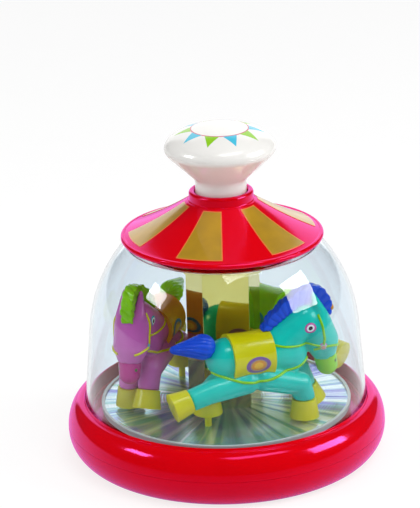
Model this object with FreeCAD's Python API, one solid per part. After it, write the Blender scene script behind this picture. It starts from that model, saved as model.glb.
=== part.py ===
import FreeCAD, Part
import math
import os

# Push-and-spin carousel for a small child. A white knob on top is pressed down, a twisted
# rod under it turns a nut, and the nut drives a turntable with three galloping ponies
# under a clear dome. Lengths are in millimetres. The axis of the toy is Z, the floor is
# z = 0, and the front is -Y. Angles named "from the front" grow towards +X.

V = FreeCAD.Vector
ORIGIN = V(0, 0, 0)
UP = V(0, 0, 1)
AHEAD = V(1, 0, 0)

# General fits
RUNNING_GAP = 0.3        # between faces that move past each other
SEAT_GAP = 0.15          # loose fit of pieces that do not move
CLOSE_GAP = 0.05         # radial gap of a bearing, or of a piece pressed into a seat
BITE = 0.2               # how far two pieces of one moulding reach into each other
CURVE_SPAN_COUNT = 4     # stretches between the points that an ellipse is drawn through
CAP_SPAN_COUNT = 6
TOP_DEG = 90.0
SCREW_R = 1.35
SCREW_HEAD_R = 2.8
SCREW_HEAD_H = 1.8

# Clear dome. The base, the turntable, the ponies and the roof take their radii from it.
DOME_R = 83.9            # outside, where it rises out of the base
DOME_WALL = 2.0
DOME_DRAFT_DEG = 5.3
DOME_SIDE_H = 44.6       # from the lip to where the wall turns into the shoulder curve
DOME_TOP_H = 51.3        # from there to the crown
DOME_SHOULDER_R = 85.5
DOME_CROWN_CORNER_R = 5.0
HOOK_COUNT = 4
HOOK_FIRST_DEG = 45.0
HOOK_WIDTH_DEG = 12.0
HOOK_PLAY_DEG = 1.0
HOOK_BARB = 1.2
HOOK_BARB_H = 1.4

# Base: two red shells that meet at a seam near the widest line
BASE_WIDEST_Z = 16.0
ROLL_W = 10.0            # from the crest of the rolled rim out to the widest line
ROLL_RISE = 17.0         # the crest over the widest line
CREST_OUT = 0.45         # the crest stands this far outside the lip
FOOT_CURVE_W = 15.0      # half width of the curve under the widest line
FOOT_CURVE_PAST = 1.15   # how far that curve would go on below the table
SEAM_RISE = 1.8          # the seam over the widest line
BASE_WALL = 2.4
LIP_RISE = 1.6           # the lip over the crest, against the dome
LIP_W = 0.5
FOOT_RING_W = 8.0        # width of the flat ring that the toy stands on
FLOOR_RISE = 2.0         # the floor inside that ring is lifted off the table
DECK_DROP = 10.0         # the deck that the dome stands on, under the crest
DECK_T = 2.2
DOME_RIB_H = 3.5
DOME_RIB_W = 1.3
TONGUE_H = 2.0           # lap joint of the two shells
BASE_SCREW_COUNT = 6
BASE_SCREW_IN = 2.2      # between a screw's socket and the edge of the lifted floor
BASE_SCREW_LENGTH = 9.0
BASE_POST_R = 4.0
BASE_POST_SPLIT_Z = 10.0
BOSS_R = 8.0             # boss that holds the axle
BOSS_TAPER = 1.0

# Roof: a red cone with a collar, one moulding with the guide tube of the knob. Its heights
# are over the dome's crown.
BRIM_OUT = 5.15          # the brim's edge outside the flat of the crown
BRIM_H = 2.9
BRIM_UNDER_IN = 1.7      # where the edge turns under and over, inside its widest line
BRIM_UNDER_H = 1.8
BRIM_TOP_IN = 2.3
BRIM_TOP_H = 4.8
ROOF_TOP_H = 24.6
ROOF_SAG = 1.27          # how far the cone hangs below a straight line
ROOF_WALL = 2.2
COLLAR_WALL = 3.6
COLLAR_FILLET_R = 1.1
COLLAR_TOP_H = 30.8
ROOF_RING_IN = 8.15      # the ring that rests on the dome, inside the flat of the crown
ROOF_RING_W = 2.0
ROOF_SCREW_COUNT = 4
ROOF_SCREW_FIRST_DEG = 45.0
ROOF_SCREW_CIRCLE_R = 34.0
ROOF_SCREW_LENGTH = 10.0
ROOF_POST_R = 3.4
STRIPE_COUNT = 6
STRIPE_WIDTH_DEG = 29.0
STRIPE_FIRST_DEG = -14.5  # middle of the first stripe, from the front
STRIPE_TOP_IN = 1.2      # red left bare above and below a stripe
STRIPE_BRIM_IN = 2.4
STRIPE_T = 0.25
GUIDE_WALL = 2.2
SPRING_SEAT_T = 1.95

# Knob: a funnel and stem below, a domed cap above. It is drawn 16 mm down from its stop,
# where the photograph shows it.
KNOB_R = 32.4
KNOB_WALL = 2.2
KNOB_UP_TRAVEL = 16.0
KNOB_DOWN_TRAVEL = 5.0
STEM_R = 15.0
STEM_WALL = 2.2
STEM_END_RISE = 1.4      # the stem's end over the spring seat when the knob is right down
FUNNEL_RISE = 4.2        # where the stem starts to flare, over the collar
FUNNEL_H = 21.0          # from there to the seam under the cap
FUNNEL_FILLET_R = 6.0
FUNNEL_EDGE_DROP = 3.0   # height and depth of the rounded edge under the seam
FUNNEL_EDGE_IN = 1.4
CAP_H = 13.5
CAP_TONGUE_H = 1.6
CAP_TONGUE_T = 1.25
KEY_COUNT = 3
KEY_W = 3.0
KEY_H = 1.2
KEY_LENGTH = 4.0
WEB_RISE = 10.5          # underside of the web that closes the stem, over the flare
WEB_T = 2.4
ROD_BOSS_R = 5.6
ROD_BOSS_H = 13.0

# Twisted rod and its cross pin
ROD_W = 6.0
ROD_T = 2.2
ROD_END_RISE = 24.0      # the rod's end over the hub
ROD_LEAD = 48.0          # length of one full turn
ROD_STEPS_PER_TURN = 24
ROD_PIN_R = 1.0

# Return spring
SPRING_PLAY = 1.4        # between the coil and the stem around it
SPRING_WIRE_R = 0.8
SPRING_TURNS = 7

# Turntable, with the foil on it, the bush in its hub, and the axle and washer below
DISC_CLEAR = 7.4         # between its edge and the dome
DISC_RISE = 5.4          # its underside over the deck
DISC_T = 2.0
DISC_RIM_H = 1.2
DISC_RIM_W = 1.6
DISC_RIB_COUNT = 9
DISC_RIB_T = 1.6
DISC_RIB_H = 2.0
FOIL_T = 0.25
HUB_R = 8.0
HUB_CAP_T = 3.7
HUB_CHAMFER = 1.5
HUB_RELIEF = 0.7         # the bore over the bush is wider than the axle
BUSH_R = 4.6
BUSH_LENGTH = 14.0
AXLE_R = 2.5
AXLE_RISE = 25.6         # its top over the disc
AXLE_LIFT = 2.6          # its foot over the floor of the base
AXLE_CHAMFER = 1.0
WASHER_R = 7.4
WASHER_T = 0.8

# Mirrored column
COLUMN_R = 23.0          # to the corners
COLUMN_SIDES = 5
COLUMN_FIRST_CORNER_DEG = -32.4
COLUMN_WALL = 1.6
COLUMN_FLANGE_T = 2.2
COLUMN_SCREW_COUNT = 3
COLUMN_SCREW_FIRST_DEG = 20.0
COLUMN_SCREW_CIRCLE_R = 12.6
HEAD_H = 8.0             # part of the head that shows over the tube
HEAD_PLUG_H = 9.5
HEAD_FLOOR_T = 2.5
HEAD_CLEAR = 2.3         # air between the head and the dome's crown

# Nut and crown-tooth clutch
NUT_R = 12.6
NUT_T = 5.0
TOOTH_COUNT = 8
TOOTH_H = 1.5
TOOTH_PLAY_DEG = 2.0
TOOTH_INNER_R = 8.4
TOOTH_OUTER_R = 12.2
ROD_HOLE_R = 4.5
COVER_T = 1.6
COVER_LEDGE = 1.6

# Ponies. A place on a pony is (along, up): along grows towards its nose from the middle of
# its back, up is over the foil. Limbs are round bars between two balls. All of it is drawn
# for a dome of one size, and a pony grows and shrinks with the dome.
PONY_PLACES = (("teal", 20.0), ("green", 143.0), ("pink", 252.0))  # angle from the front
PONY_DRAWN_R = 81.9      # inside radius of that dome at its foot
PONY_DRAWN_H = 99.85     # its crown over the foil
PONY_CLEAR = 4.2         # from the farthest hoof to the radius of the dome's foot
RUMP = (-15.0, 43.1)
BARREL_R = 12.0
GIRTH = (15.0, 43.1)
GIRTH_R = 11.6
CHEST = (22.5, 40.8)
CHEST_R = 11.6
WITHERS = (15.5, 47.1)
WITHERS_R = 11.0
POLL = (33.0, 59.6)
POLL_R = 10.2
BROW = (38.5, 56.0)
BROW_R = 11.0
NOSE = (43.6, 45.6)
NOSE_R = 10.2
LIP = (46.4, 34.4)
LIP_R = 6.0
MUZZLE_R = 6.6
CHIN = (47.3, 29.4)
CHIN_R = 6.2
EAR_ROOT = (42.0, 62.4)
EAR_TIP = (36.7, 76.4)
EAR_SPREAD = 5.0
EAR_ROOT_R = 4.2
EAR_TIP_R = 1.3
HIP_ALONG = 5.5          # the two shoulders are as far ahead as the two hips are behind
HIP_UP = 29.6
HIP_SPREAD = 6.8
THIGH_R = 7.4
KNEE_R = 7.0
SHIN_R = 6.8
FETLOCK_R = 6.4
LEG_SPREAD = 7.0
FORE_PLANTED = ((27.5, 23.0), (30.0, 13.5))      # knee and fetlock
FORE_RAISED = ((32.0, 26.5), (36.5, 15.5))
HIND_PLANTED = ((-19.0, 24.5), (-24.5, 19.4))
HIND_RAISED = ((-27.0, 27.0), (-40.0, 23.5))
HOOF_TOP_R = 6.9
HOOF_SOLE_R = 8.6
HOOF_H = 11.0
PEG_R = 2.0
PEG_HEAD_R = 3.2
PEG_HEAD_H = 0.9
SADDLE_BACK = -14.2
SADDLE_FRONT = 10.7
SADDLE_T = 1.4
SADDLE_SINK = 0.6        # how far its underside is let into the back
SADDLE_RISE = 0.7        # how far its front and back edges stand up
SADDLE_WRAP_DEG = 128.0  # from the top of the back, on each side
MANE_W = 7.2
MANE_LOCKS = ((6.0, 52.1), (9.0, 60.6), (16.0, 68.1), (23.5, 74.1), (32.0, 78.6),
              (40.5, 79.6), (47.0, 73.6), (49.0, 64.6), (47.5, 59.1))
MANE_BULGE = 0.14        # how far a lock swells, as a share of its length
MANE_UNDERSIDE = ((39.0, 55.6), (27.0, 55.6), (15.5, 47.1))
TAIL_ROOT = (-29.0, 52.3)
TAIL_ROOT_R = 7.5
TAIL_TIP = (-46.6, 53.2)
TAIL_TIP_R = 2.4

# Heights that follow from the sizes above, from the floor up
BASE_SEAM_Z = BASE_WIDEST_Z + SEAM_RISE
ROLL_CREST_Z = BASE_WIDEST_Z + ROLL_RISE
LIP_Z = ROLL_CREST_Z + LIP_RISE
BASE_FLOOR_TOP_Z = FLOOR_RISE + BASE_WALL
DECK_Z = ROLL_CREST_Z - DECK_DROP
DECK_BOTTOM_Z = DECK_Z - DECK_T
DISC_BOTTOM_Z = DECK_Z + DISC_RISE
DISC_TOP_Z = DISC_BOTTOM_Z + DISC_T
FOIL_TOP_Z = DISC_TOP_Z + FOIL_T
HUB_BOTTOM_Z = DISC_BOTTOM_Z - DISC_RIB_H
BOSS_TOP_Z = HUB_BOTTOM_Z - RUNNING_GAP - WASHER_T
AXLE_BOTTOM_Z = BASE_FLOOR_TOP_Z + AXLE_LIFT
AXLE_TOP_Z = DISC_TOP_Z + AXLE_RISE
HUB_TOP_Z = AXLE_TOP_Z + RUNNING_GAP + HUB_CAP_T
DOME_SHOULDER_Z = LIP_Z + DOME_SIDE_H
DOME_CROWN_Z = DOME_SHOULDER_Z + DOME_TOP_H
HEAD_TOP_Z = DOME_CROWN_Z - DOME_WALL - HEAD_CLEAR
COLUMN_TOP_Z = HEAD_TOP_Z - HEAD_H
HEAD_BOTTOM_Z = COLUMN_TOP_Z - HEAD_PLUG_H
CLUTCH_FLOOR_Z = HEAD_BOTTOM_Z + HEAD_FLOOR_T
NUT_BOTTOM_Z = CLUTCH_FLOOR_Z + TOOTH_H + RUNNING_GAP
NUT_TOP_Z = NUT_BOTTOM_Z + TOOTH_H + NUT_T
COVER_Z = NUT_TOP_Z + RUNNING_GAP
GUIDE_BOTTOM_Z = DOME_CROWN_Z - DOME_WALL + SEAT_GAP
SPRING_SEAT_Z = GUIDE_BOTTOM_Z + SPRING_SEAT_T
BRIM_Z = DOME_CROWN_Z + BRIM_H
BRIM_UNDER_Z = DOME_CROWN_Z + BRIM_UNDER_H
BRIM_TOP_Z = DOME_CROWN_Z + BRIM_TOP_H
ROOF_TOP_Z = DOME_CROWN_Z + ROOF_TOP_H
ROOF_MIDDLE_Z = (ROOF_TOP_Z + BRIM_TOP_Z) / 2.0 - ROOF_SAG
COLLAR_TOP_Z = DOME_CROWN_Z + COLLAR_TOP_H
STEM_BOTTOM_Z = SPRING_SEAT_Z + STEM_END_RISE + KNOB_DOWN_TRAVEL
KEY_STOP_Z = STEM_BOTTOM_Z + KEY_LENGTH + KNOB_UP_TRAVEL + RUNNING_GAP
FUNNEL_START_Z = COLLAR_TOP_Z + FUNNEL_RISE
WEB_Z = FUNNEL_START_Z + WEB_RISE
KNOB_SEAM_Z = FUNNEL_START_Z + FUNNEL_H
KNOB_TOP_Z = KNOB_SEAM_Z + CAP_H
ROD_BOTTOM_Z = HUB_TOP_Z + ROD_END_RISE
ROD_TWIST_TOP_Z = WEB_Z - ROD_BOSS_H

# Radii that follow
DOME_INNER_R = DOME_R - DOME_WALL
GROOVE_R = DOME_R + SEAT_GAP
ROLL_CREST_R = GROOVE_R + LIP_W + CREST_OUT
BASE_R = ROLL_CREST_R + ROLL_W
DISC_R = DOME_INNER_R - DISC_CLEAR
GUIDE_R = STEM_R + RUNNING_GAP
COLLAR_R = GUIDE_R + COLLAR_WALL
ROOF_TOP_R = COLLAR_R + COLLAR_FILLET_R
SPRING_R = STEM_R - STEM_WALL - SPRING_PLAY - SPRING_WIRE_R
CAVITY_R = NUT_R + RUNNING_GAP
PILOT_R = SCREW_R + CLOSE_GAP

# Ponies as large as the dome allows, on a circle as wide as it allows
PONY_SIZE = min(DOME_INNER_R / PONY_DRAWN_R, (DOME_CROWN_Z - FOIL_TOP_Z) / PONY_DRAWN_H)
PONY_REACH = PONY_SIZE * (HOOF_H - HIND_RAISED[1][0])
PONY_HALF_W = PONY_SIZE * (LEG_SPREAD + HOOF_SOLE_R)
PONY_CIRCLE_R = math.sqrt((DOME_INNER_R - PONY_CLEAR) ** 2 - PONY_REACH ** 2) - PONY_HALF_W


def polar(radius, degrees_from_front, z=0.0):
    """Point at a radius and an angle from the front."""
    angle = math.radians(degrees_from_front - 90.0)
    return V(radius * math.cos(angle), radius * math.sin(angle), z)


def turned(shape, degrees):
    """Copy of a shape turned about the axis of the toy."""
    copy = shape.copy()
    copy.rotate(ORIGIN, UP, degrees)
    return copy


def ring_of(shape, count, first_degrees=0.0):
    """The same shape repeated at equal angles about the axis."""
    return [turned(shape, first_degrees + 360.0 * i / count) for i in range(count)]


def fused(first, others):
    """One solid made of several that overlap."""
    return first.multiFuse(others).removeSplitter()


def cylinder(radius, z_low, z_high, centre=ORIGIN):
    return Part.makeCylinder(radius, z_high - z_low, V(centre.x, centre.y, z_low), UP)


def tube(outer_r, inner_r, z_low, z_high):
    return cylinder(outer_r, z_low, z_high).cut(cylinder(inner_r, z_low, z_high))


class Outline:
    """A closed outline in the X-Z plane, drawn edge by edge and then revolved about Z."""

    def __init__(self, r, z):
        self.start = V(r, 0, z)
        self.at = self.start
        self.edges = []

    def line(self, r, z):
        target = V(r, 0, z)
        if self.at.distanceToPoint(target) > 1e-6:
            self.edges.append(Part.makeLine(self.at, target))
        self.at = target
        return self

    def around(self, centre, end):
        """An arc about a centre, the short way round."""
        hub = V(centre[0], 0, centre[1])
        target = V(end[0], 0, end[1])
        spoke = self.at.sub(hub)
        middle = spoke.add(target.sub(hub)).normalize() * spoke.Length
        return self.arc((hub.x + middle.x, hub.z + middle.z), end)

    def arc(self, middle, end):
        target = V(end[0], 0, end[1])
        arc = Part.Arc(self.at, V(middle[0], 0, middle[1]), target)
        self.edges.append(arc.toShape())
        self.at = target
        return self

    def ellipse(self, centre, half_r, half_z, first_deg, last_deg, spans=CURVE_SPAN_COUNT):
        """A stretch of an ellipse, as a curve through points from its formula."""
        points = []
        for i in range(spans + 1):
            angle = math.radians(first_deg + (last_deg - first_deg) * i / spans)
            points.append(V(centre[0] + half_r * math.cos(angle), 0,
                            centre[1] + half_z * math.sin(angle)))
        self.line(points[0].x, points[0].z)
        curve = Part.BSplineCurve()
        curve.interpolate(points)
        self.edges.append(curve.toShape())
        self.at = points[-1]
        return self

    def face(self):
        self.line(self.start.x, self.start.z)
        return Part.Face(Part.Wire(self.edges))

    def revolve(self, degrees=360.0):
        return self.face().revolve(ORIGIN, UP, degrees)


def circle_through(a, b, c):
    """Centre and radius of the circle through three (r, z) points."""
    circle = Part.Arc(V(a[0], 0, a[1]), V(b[0], 0, b[1]), V(c[0], 0, c[1])).toShape().Curve
    return circle.Center, circle.Radius


def height_angle(half_z, rise):
    """Angle at which an ellipse stands a given height over its centre."""
    return math.degrees(math.asin(rise / half_z))


# Base, upper shell: rolled rim, groove for the dome, deck and the axle's boss, with posts
# under the deck that take the screws
TONGUE_T = BASE_WALL / 2.0
SKIRT_R = GROOVE_R + BASE_WALL


def roll_r(z, inset=0.0):
    """Radius of the rolled rim at a height, outside or inset by a wall."""
    share = (z - BASE_WIDEST_Z) / (ROLL_RISE - inset)
    return ROLL_CREST_R + (ROLL_W - inset) * math.sqrt(1.0 - share * share)


def make_base_top():
    centre = (ROLL_CREST_R, BASE_WIDEST_Z)
    inner_half_r = ROLL_W - BASE_WALL
    inner_half_z = ROLL_RISE - BASE_WALL
    seam_outer_deg = height_angle(ROLL_RISE, SEAM_RISE)
    seam_inner_deg = height_angle(inner_half_z, SEAM_RISE)
    skirt_deg = math.degrees(math.acos((SKIRT_R - ROLL_CREST_R) / inner_half_r))
    tongue_r = roll_r(BASE_SEAM_Z) - TONGUE_T
    rib_r = DOME_INNER_R - SEAT_GAP
    lip_r = GROOVE_R + LIP_W
    shell = Outline(tongue_r, BASE_SEAM_Z)
    shell.ellipse(centre, ROLL_W, ROLL_RISE, seam_outer_deg, TOP_DEG)
    shell.line(lip_r, LIP_Z)
    shell.line(GROOVE_R, LIP_Z - LIP_W)
    shell.line(GROOVE_R, DECK_Z)
    shell.line(rib_r, DECK_Z)
    shell.line(rib_r, DECK_Z + DOME_RIB_H)
    shell.line(rib_r - DOME_RIB_W, DECK_Z + DOME_RIB_H)
    shell.line(rib_r - DOME_RIB_W, DECK_Z)
    shell.line(BOSS_R, DECK_Z)
    shell.line(BOSS_R, BOSS_TOP_Z)
    shell.line(0, BOSS_TOP_Z)
    shell.line(0, BASE_FLOOR_TOP_Z + RUNNING_GAP)
    shell.line(BOSS_R - BOSS_TAPER, BASE_FLOOR_TOP_Z + RUNNING_GAP)
    shell.line(BOSS_R, DECK_BOTTOM_Z)
    shell.line(SKIRT_R, DECK_BOTTOM_Z)
    shell.line(SKIRT_R, BASE_WIDEST_Z + inner_half_z * math.sin(math.radians(skirt_deg)))
    shell.ellipse(centre, inner_half_r, inner_half_z, skirt_deg, seam_inner_deg)
    shell.line(shell.at.x, BASE_SEAM_Z - TONGUE_H)
    shell.line(tongue_r, BASE_SEAM_Z - TONGUE_H)
    solid = shell.revolve()
    post = cylinder(BASE_POST_R, BASE_POST_SPLIT_Z, DECK_BOTTOM_Z + BITE,
                    polar(BASE_SCREW_CIRCLE_R, 0))
    solid = fused(solid, ring_of(post, BASE_SCREW_COUNT))
    pilot = cylinder(PILOT_R, BASE_POST_SPLIT_Z, BASE_POST_SPLIT_Z + BASE_SCREW_LENGTH,
                     polar(BASE_SCREW_CIRCLE_R, 0))
    socket = cylinder(AXLE_R, AXLE_BOTTOM_Z, BOSS_TOP_Z)
    slot_deg = HOOK_WIDTH_DEG + HOOK_PLAY_DEG
    slots = [hook_sector(rib_r, GROOVE_R, DECK_BOTTOM_Z, DECK_Z, slot_deg, i)
             for i in range(HOOK_COUNT)]
    return solid.cut([socket] + ring_of(pilot, BASE_SCREW_COUNT) + slots)


def hook_sector(inner_r, outer_r, z_low, z_high, width_deg, index):
    """A short arc of a ring, where one hook of the dome is."""
    block = Outline(inner_r, z_low)
    block.line(outer_r, z_low).line(outer_r, z_high).line(inner_r, z_high)
    start = HOOK_FIRST_DEG + 360.0 * index / HOOK_COUNT - width_deg / 2.0
    return turned(block.revolve(width_deg), start)


# Base, lower shell: the curved underside, a foot ring to stand on, a lifted floor and
# sockets that the screws pass up through
FOOT_CURVE_R = BASE_R - FOOT_CURVE_W
FOOT_CURVE_DROP = BASE_WIDEST_Z + FOOT_CURVE_PAST
FLOOR_FLARE_DEG = -height_angle(FOOT_CURVE_DROP, BASE_WIDEST_Z)
FOOT_R = FOOT_CURVE_R + FOOT_CURVE_W * math.cos(math.radians(FLOOR_FLARE_DEG))
FLOOR_EDGE_R = FOOT_R - FOOT_RING_W
BASE_SOCKET_R = SCREW_HEAD_R + BASE_WALL
BASE_SCREW_CIRCLE_R = FLOOR_EDGE_R - BASE_SCREW_IN - BASE_SOCKET_R


def make_base_bottom():
    centre = (FOOT_CURVE_R, BASE_WIDEST_Z)
    inner_drop = FOOT_CURVE_DROP - BASE_WALL
    lap_z = BASE_SEAM_Z - TONGUE_H - SEAT_GAP
    inner_deg = -height_angle(inner_drop, BASE_WIDEST_Z - BASE_WALL)
    lap_deg = -height_angle(inner_drop, BASE_WIDEST_Z - lap_z)
    tongue_r = roll_r(BASE_SEAM_Z) - TONGUE_T + SEAT_GAP
    shell = Outline(0, FLOOR_RISE)
    shell.line(FLOOR_EDGE_R, FLOOR_RISE)
    shell.line(FLOOR_EDGE_R + FLOOR_RISE / 2.0, 0)
    shell.line(FOOT_R, 0)
    shell.ellipse(centre, FOOT_CURVE_W, FOOT_CURVE_DROP, FLOOR_FLARE_DEG, 0.0)
    shell.line(roll_r(BASE_SEAM_Z), BASE_SEAM_Z)
    shell.line(tongue_r, BASE_SEAM_Z)
    shell.line(tongue_r, lap_z)
    shell.ellipse(centre, FOOT_CURVE_W - BASE_WALL, inner_drop, lap_deg, inner_deg)
    shell.line(FLOOR_EDGE_R + FLOOR_RISE / 2.0, BASE_WALL)
    shell.line(FLOOR_EDGE_R, BASE_FLOOR_TOP_Z)
    shell.line(0, BASE_FLOOR_TOP_Z)
    solid = shell.revolve()
    at = polar(BASE_SCREW_CIRCLE_R, 0)
    socket = cylinder(BASE_SOCKET_R, BASE_FLOOR_TOP_Z - BITE, BASE_POST_SPLIT_Z, at)
    solid = fused(solid, ring_of(socket, BASE_SCREW_COUNT))
    head_seat_z = BASE_POST_SPLIT_Z - BASE_WALL
    counterbore = cylinder(SCREW_HEAD_R + SEAT_GAP, 0, head_seat_z, at)
    shank_hole = cylinder(SCREW_R + SEAT_GAP, 0, BASE_POST_SPLIT_Z, at)
    return solid.cut(ring_of(counterbore, BASE_SCREW_COUNT)
                     + ring_of(shank_hole, BASE_SCREW_COUNT))


def screw(head_z, length, at):
    """A pan-head screw that points up from the underside of its head seat."""
    head = cylinder(SCREW_HEAD_R, head_z - SCREW_HEAD_H, head_z, at)
    shank = cylinder(SCREW_R, head_z - BITE, head_z + length, at)
    return fused(head, [shank])


def make_base_screws():
    one = screw(BASE_POST_SPLIT_Z - BASE_WALL, BASE_SCREW_LENGTH,
                polar(BASE_SCREW_CIRCLE_R, 0))
    return Part.makeCompound(ring_of(one, BASE_SCREW_COUNT))


# Dome: a straight foot in the base's groove, a tapered wall, a round shoulder and a flat
# crown under the roof, with hooks that reach through slots in the deck
DOME_SLOPE = math.tan(math.radians(DOME_DRAFT_DEG))


def dome_side(inset):
    """Key points of the dome's side, outside or inset by its wall."""
    draft = math.radians(DOME_DRAFT_DEG)
    foot = V(DOME_R - inset, 0, LIP_Z)
    shoulder_r = DOME_R - DOME_SLOPE * (DOME_SHOULDER_Z - LIP_Z)
    centre = V(shoulder_r - DOME_SHOULDER_R * math.cos(draft), 0,
               DOME_SHOULDER_Z - DOME_SHOULDER_R * math.sin(draft))
    big_r = DOME_SHOULDER_R - inset
    corner_r = DOME_CROWN_CORNER_R - inset
    crown_z = DOME_CROWN_Z - inset
    rise = crown_z - corner_r - centre.z
    reach = big_r - corner_r
    corner = V(centre.x + math.sqrt(reach * reach - rise * rise), 0, crown_z - corner_r)
    tilt = math.atan2(corner.z - centre.z, corner.x - centre.x)

    def on_circle(middle, radius, angle):
        return (middle.x + radius * math.cos(angle), middle.z + radius * math.sin(angle))

    return {
        "foot": (foot.x, foot.z),
        "shoulder": on_circle(centre, big_r, draft),
        "shoulder_middle": on_circle(centre, big_r, (draft + tilt) / 2.0),
        "corner": on_circle(centre, big_r, tilt),
        "corner_middle": on_circle(corner, corner_r, (tilt + math.pi / 2.0) / 2.0),
        "crown": (corner.x, crown_z),
    }


def make_dome():
    outer = dome_side(0.0)
    inner = dome_side(DOME_WALL)
    hole_r = GUIDE_R + GUIDE_WALL + SEAT_GAP
    shell = Outline(DOME_R, DECK_Z)
    shell.line(*outer["foot"]).line(*outer["shoulder"])
    shell.arc(outer["shoulder_middle"], outer["corner"])
    shell.arc(outer["corner_middle"], outer["crown"])
    shell.line(hole_r, DOME_CROWN_Z)
    shell.line(hole_r, DOME_CROWN_Z - DOME_WALL)
    shell.line(*inner["crown"])
    shell.arc(inner["corner_middle"], inner["corner"])
    shell.arc(inner["shoulder_middle"], inner["shoulder"])
    shell.line(*inner["foot"]).line(DOME_INNER_R, DECK_Z)
    solid = shell.revolve()
    hooks = []
    barb_top_z = DECK_BOTTOM_Z - SEAT_GAP
    barb_bottom_z = barb_top_z - HOOK_BARB_H
    for i in range(HOOK_COUNT):
        hooks.append(hook_sector(DOME_INNER_R, DOME_R, barb_bottom_z, DECK_Z + BITE,
                                 HOOK_WIDTH_DEG, i))
        hooks.append(hook_sector(DOME_INNER_R, GROOVE_R + HOOK_BARB, barb_bottom_z, barb_top_z,
                                 HOOK_WIDTH_DEG, i))
    solid = fused(solid, hooks)
    hole = cylinder(SCREW_R + SEAT_GAP, DOME_CROWN_Z - DOME_WALL, DOME_CROWN_Z,
                    polar(ROOF_SCREW_CIRCLE_R, 0))
    return solid.cut(ring_of(hole, ROOF_SCREW_COUNT, ROOF_SCREW_FIRST_DEG))


# Roof: brim, concave cone and collar, with the guide tube, its spring seat and the key
# grooves inside, and a ring and posts that rest on the dome's crown
CROWN_R = dome_side(0.0)["crown"][0]
BRIM_R = CROWN_R + BRIM_OUT
BRIM_UNDER_R = BRIM_R - BRIM_UNDER_IN
BRIM_TOP_R = BRIM_R - BRIM_TOP_IN
ROOF_MIDDLE_R = (ROOF_TOP_R + BRIM_TOP_R) / 2.0
ROOF_RING_R = CROWN_R - ROOF_RING_IN
ROOF_ARC_CENTRE, ROOF_ARC_R = circle_through(
    (ROOF_TOP_R, ROOF_TOP_Z), (ROOF_MIDDLE_R, ROOF_MIDDLE_Z), (BRIM_TOP_R, BRIM_TOP_Z))


def roof_z(r, raised=0.0):
    """Height of the roof's outer face at a radius, raised square to the face."""
    reach = ROOF_ARC_R - raised
    return ROOF_ARC_CENTRE.z - math.sqrt(reach ** 2 - (r - ROOF_ARC_CENTRE.x) ** 2)


def make_roof_cone():
    tube_r = GUIDE_R + GUIDE_WALL
    lip_middle_r = (GUIDE_R + COLLAR_R) / 2.0
    lip_r = COLLAR_R - lip_middle_r
    inner_brim_r = BRIM_TOP_R - ROOF_WALL
    shell = Outline(GUIDE_R, COLLAR_TOP_Z - lip_r)
    shell.arc((lip_middle_r, COLLAR_TOP_Z), (COLLAR_R, COLLAR_TOP_Z - lip_r))
    shell.line(COLLAR_R, ROOF_TOP_Z + COLLAR_FILLET_R)
    shell.around((ROOF_TOP_R, ROOF_TOP_Z + COLLAR_FILLET_R), (ROOF_TOP_R, ROOF_TOP_Z))
    shell.arc((ROOF_MIDDLE_R, ROOF_MIDDLE_Z), (BRIM_TOP_R, BRIM_TOP_Z))
    shell.arc((BRIM_R, BRIM_Z), (BRIM_UNDER_R, BRIM_UNDER_Z))
    shell.line(inner_brim_r, BRIM_UNDER_Z)
    shell.line(inner_brim_r, roof_z(inner_brim_r, -ROOF_WALL))
    middle_r = (inner_brim_r + tube_r) / 2.0
    shell.arc((middle_r, roof_z(middle_r, -ROOF_WALL)), (tube_r, roof_z(tube_r, -ROOF_WALL)))
    shell.line(tube_r, GUIDE_BOTTOM_Z)
    shell.line(ROD_HOLE_R, GUIDE_BOTTOM_Z)
    shell.line(ROD_HOLE_R, SPRING_SEAT_Z)
    shell.line(GUIDE_R, SPRING_SEAT_Z)
    solid = shell.revolve()
    ring_inner_r = ROOF_RING_R - ROOF_RING_W
    ring = Outline(ring_inner_r, DOME_CROWN_Z)
    ring.line(ROOF_RING_R, DOME_CROWN_Z)
    ring.line(ROOF_RING_R, roof_z(ROOF_RING_R, -0.5 * ROOF_WALL))
    ring.line(ring_inner_r, roof_z(ring_inner_r, -0.5 * ROOF_WALL))
    post_at = polar(ROOF_SCREW_CIRCLE_R, 0)
    post_top_z = roof_z(ROOF_SCREW_CIRCLE_R + ROOF_POST_R, -0.5 * ROOF_WALL)
    post = cylinder(ROOF_POST_R, DOME_CROWN_Z, post_top_z, post_at)
    solid = fused(solid, [ring.revolve()] + ring_of(post, ROOF_SCREW_COUNT, ROOF_SCREW_FIRST_DEG))
    pilot = cylinder(PILOT_R, DOME_CROWN_Z, DOME_CROWN_Z + ROOF_SCREW_LENGTH, post_at)
    groove_w = KEY_W + 2.0 * SEAT_GAP
    groove = Part.makeBox(groove_w, GUIDE_R + KEY_H, KEY_STOP_Z - SPRING_SEAT_Z,
                          V(-groove_w / 2.0, -GUIDE_R - KEY_H, SPRING_SEAT_Z))
    return solid.cut(ring_of(pilot, ROOF_SCREW_COUNT, ROOF_SCREW_FIRST_DEG)
                     + ring_of(groove, KEY_COUNT))


def make_roof_stripes():
    """Six gold panels that lie on the cone."""
    low_r = ROOF_TOP_R + STRIPE_TOP_IN
    high_r = BRIM_TOP_R - STRIPE_BRIM_IN
    middle_r = (low_r + high_r) / 2.0
    band = Outline(low_r, roof_z(low_r))
    band.arc((middle_r, roof_z(middle_r)), (high_r, roof_z(high_r)))
    band.line(high_r, roof_z(high_r, STRIPE_T))
    band.arc((middle_r, roof_z(middle_r, STRIPE_T)), (low_r, roof_z(low_r, STRIPE_T)))
    panel = band.revolve(STRIPE_WIDTH_DEG)
    first = STRIPE_FIRST_DEG - STRIPE_WIDTH_DEG / 2.0 - 90.0
    return Part.makeCompound(ring_of(panel, STRIPE_COUNT, first))


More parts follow.
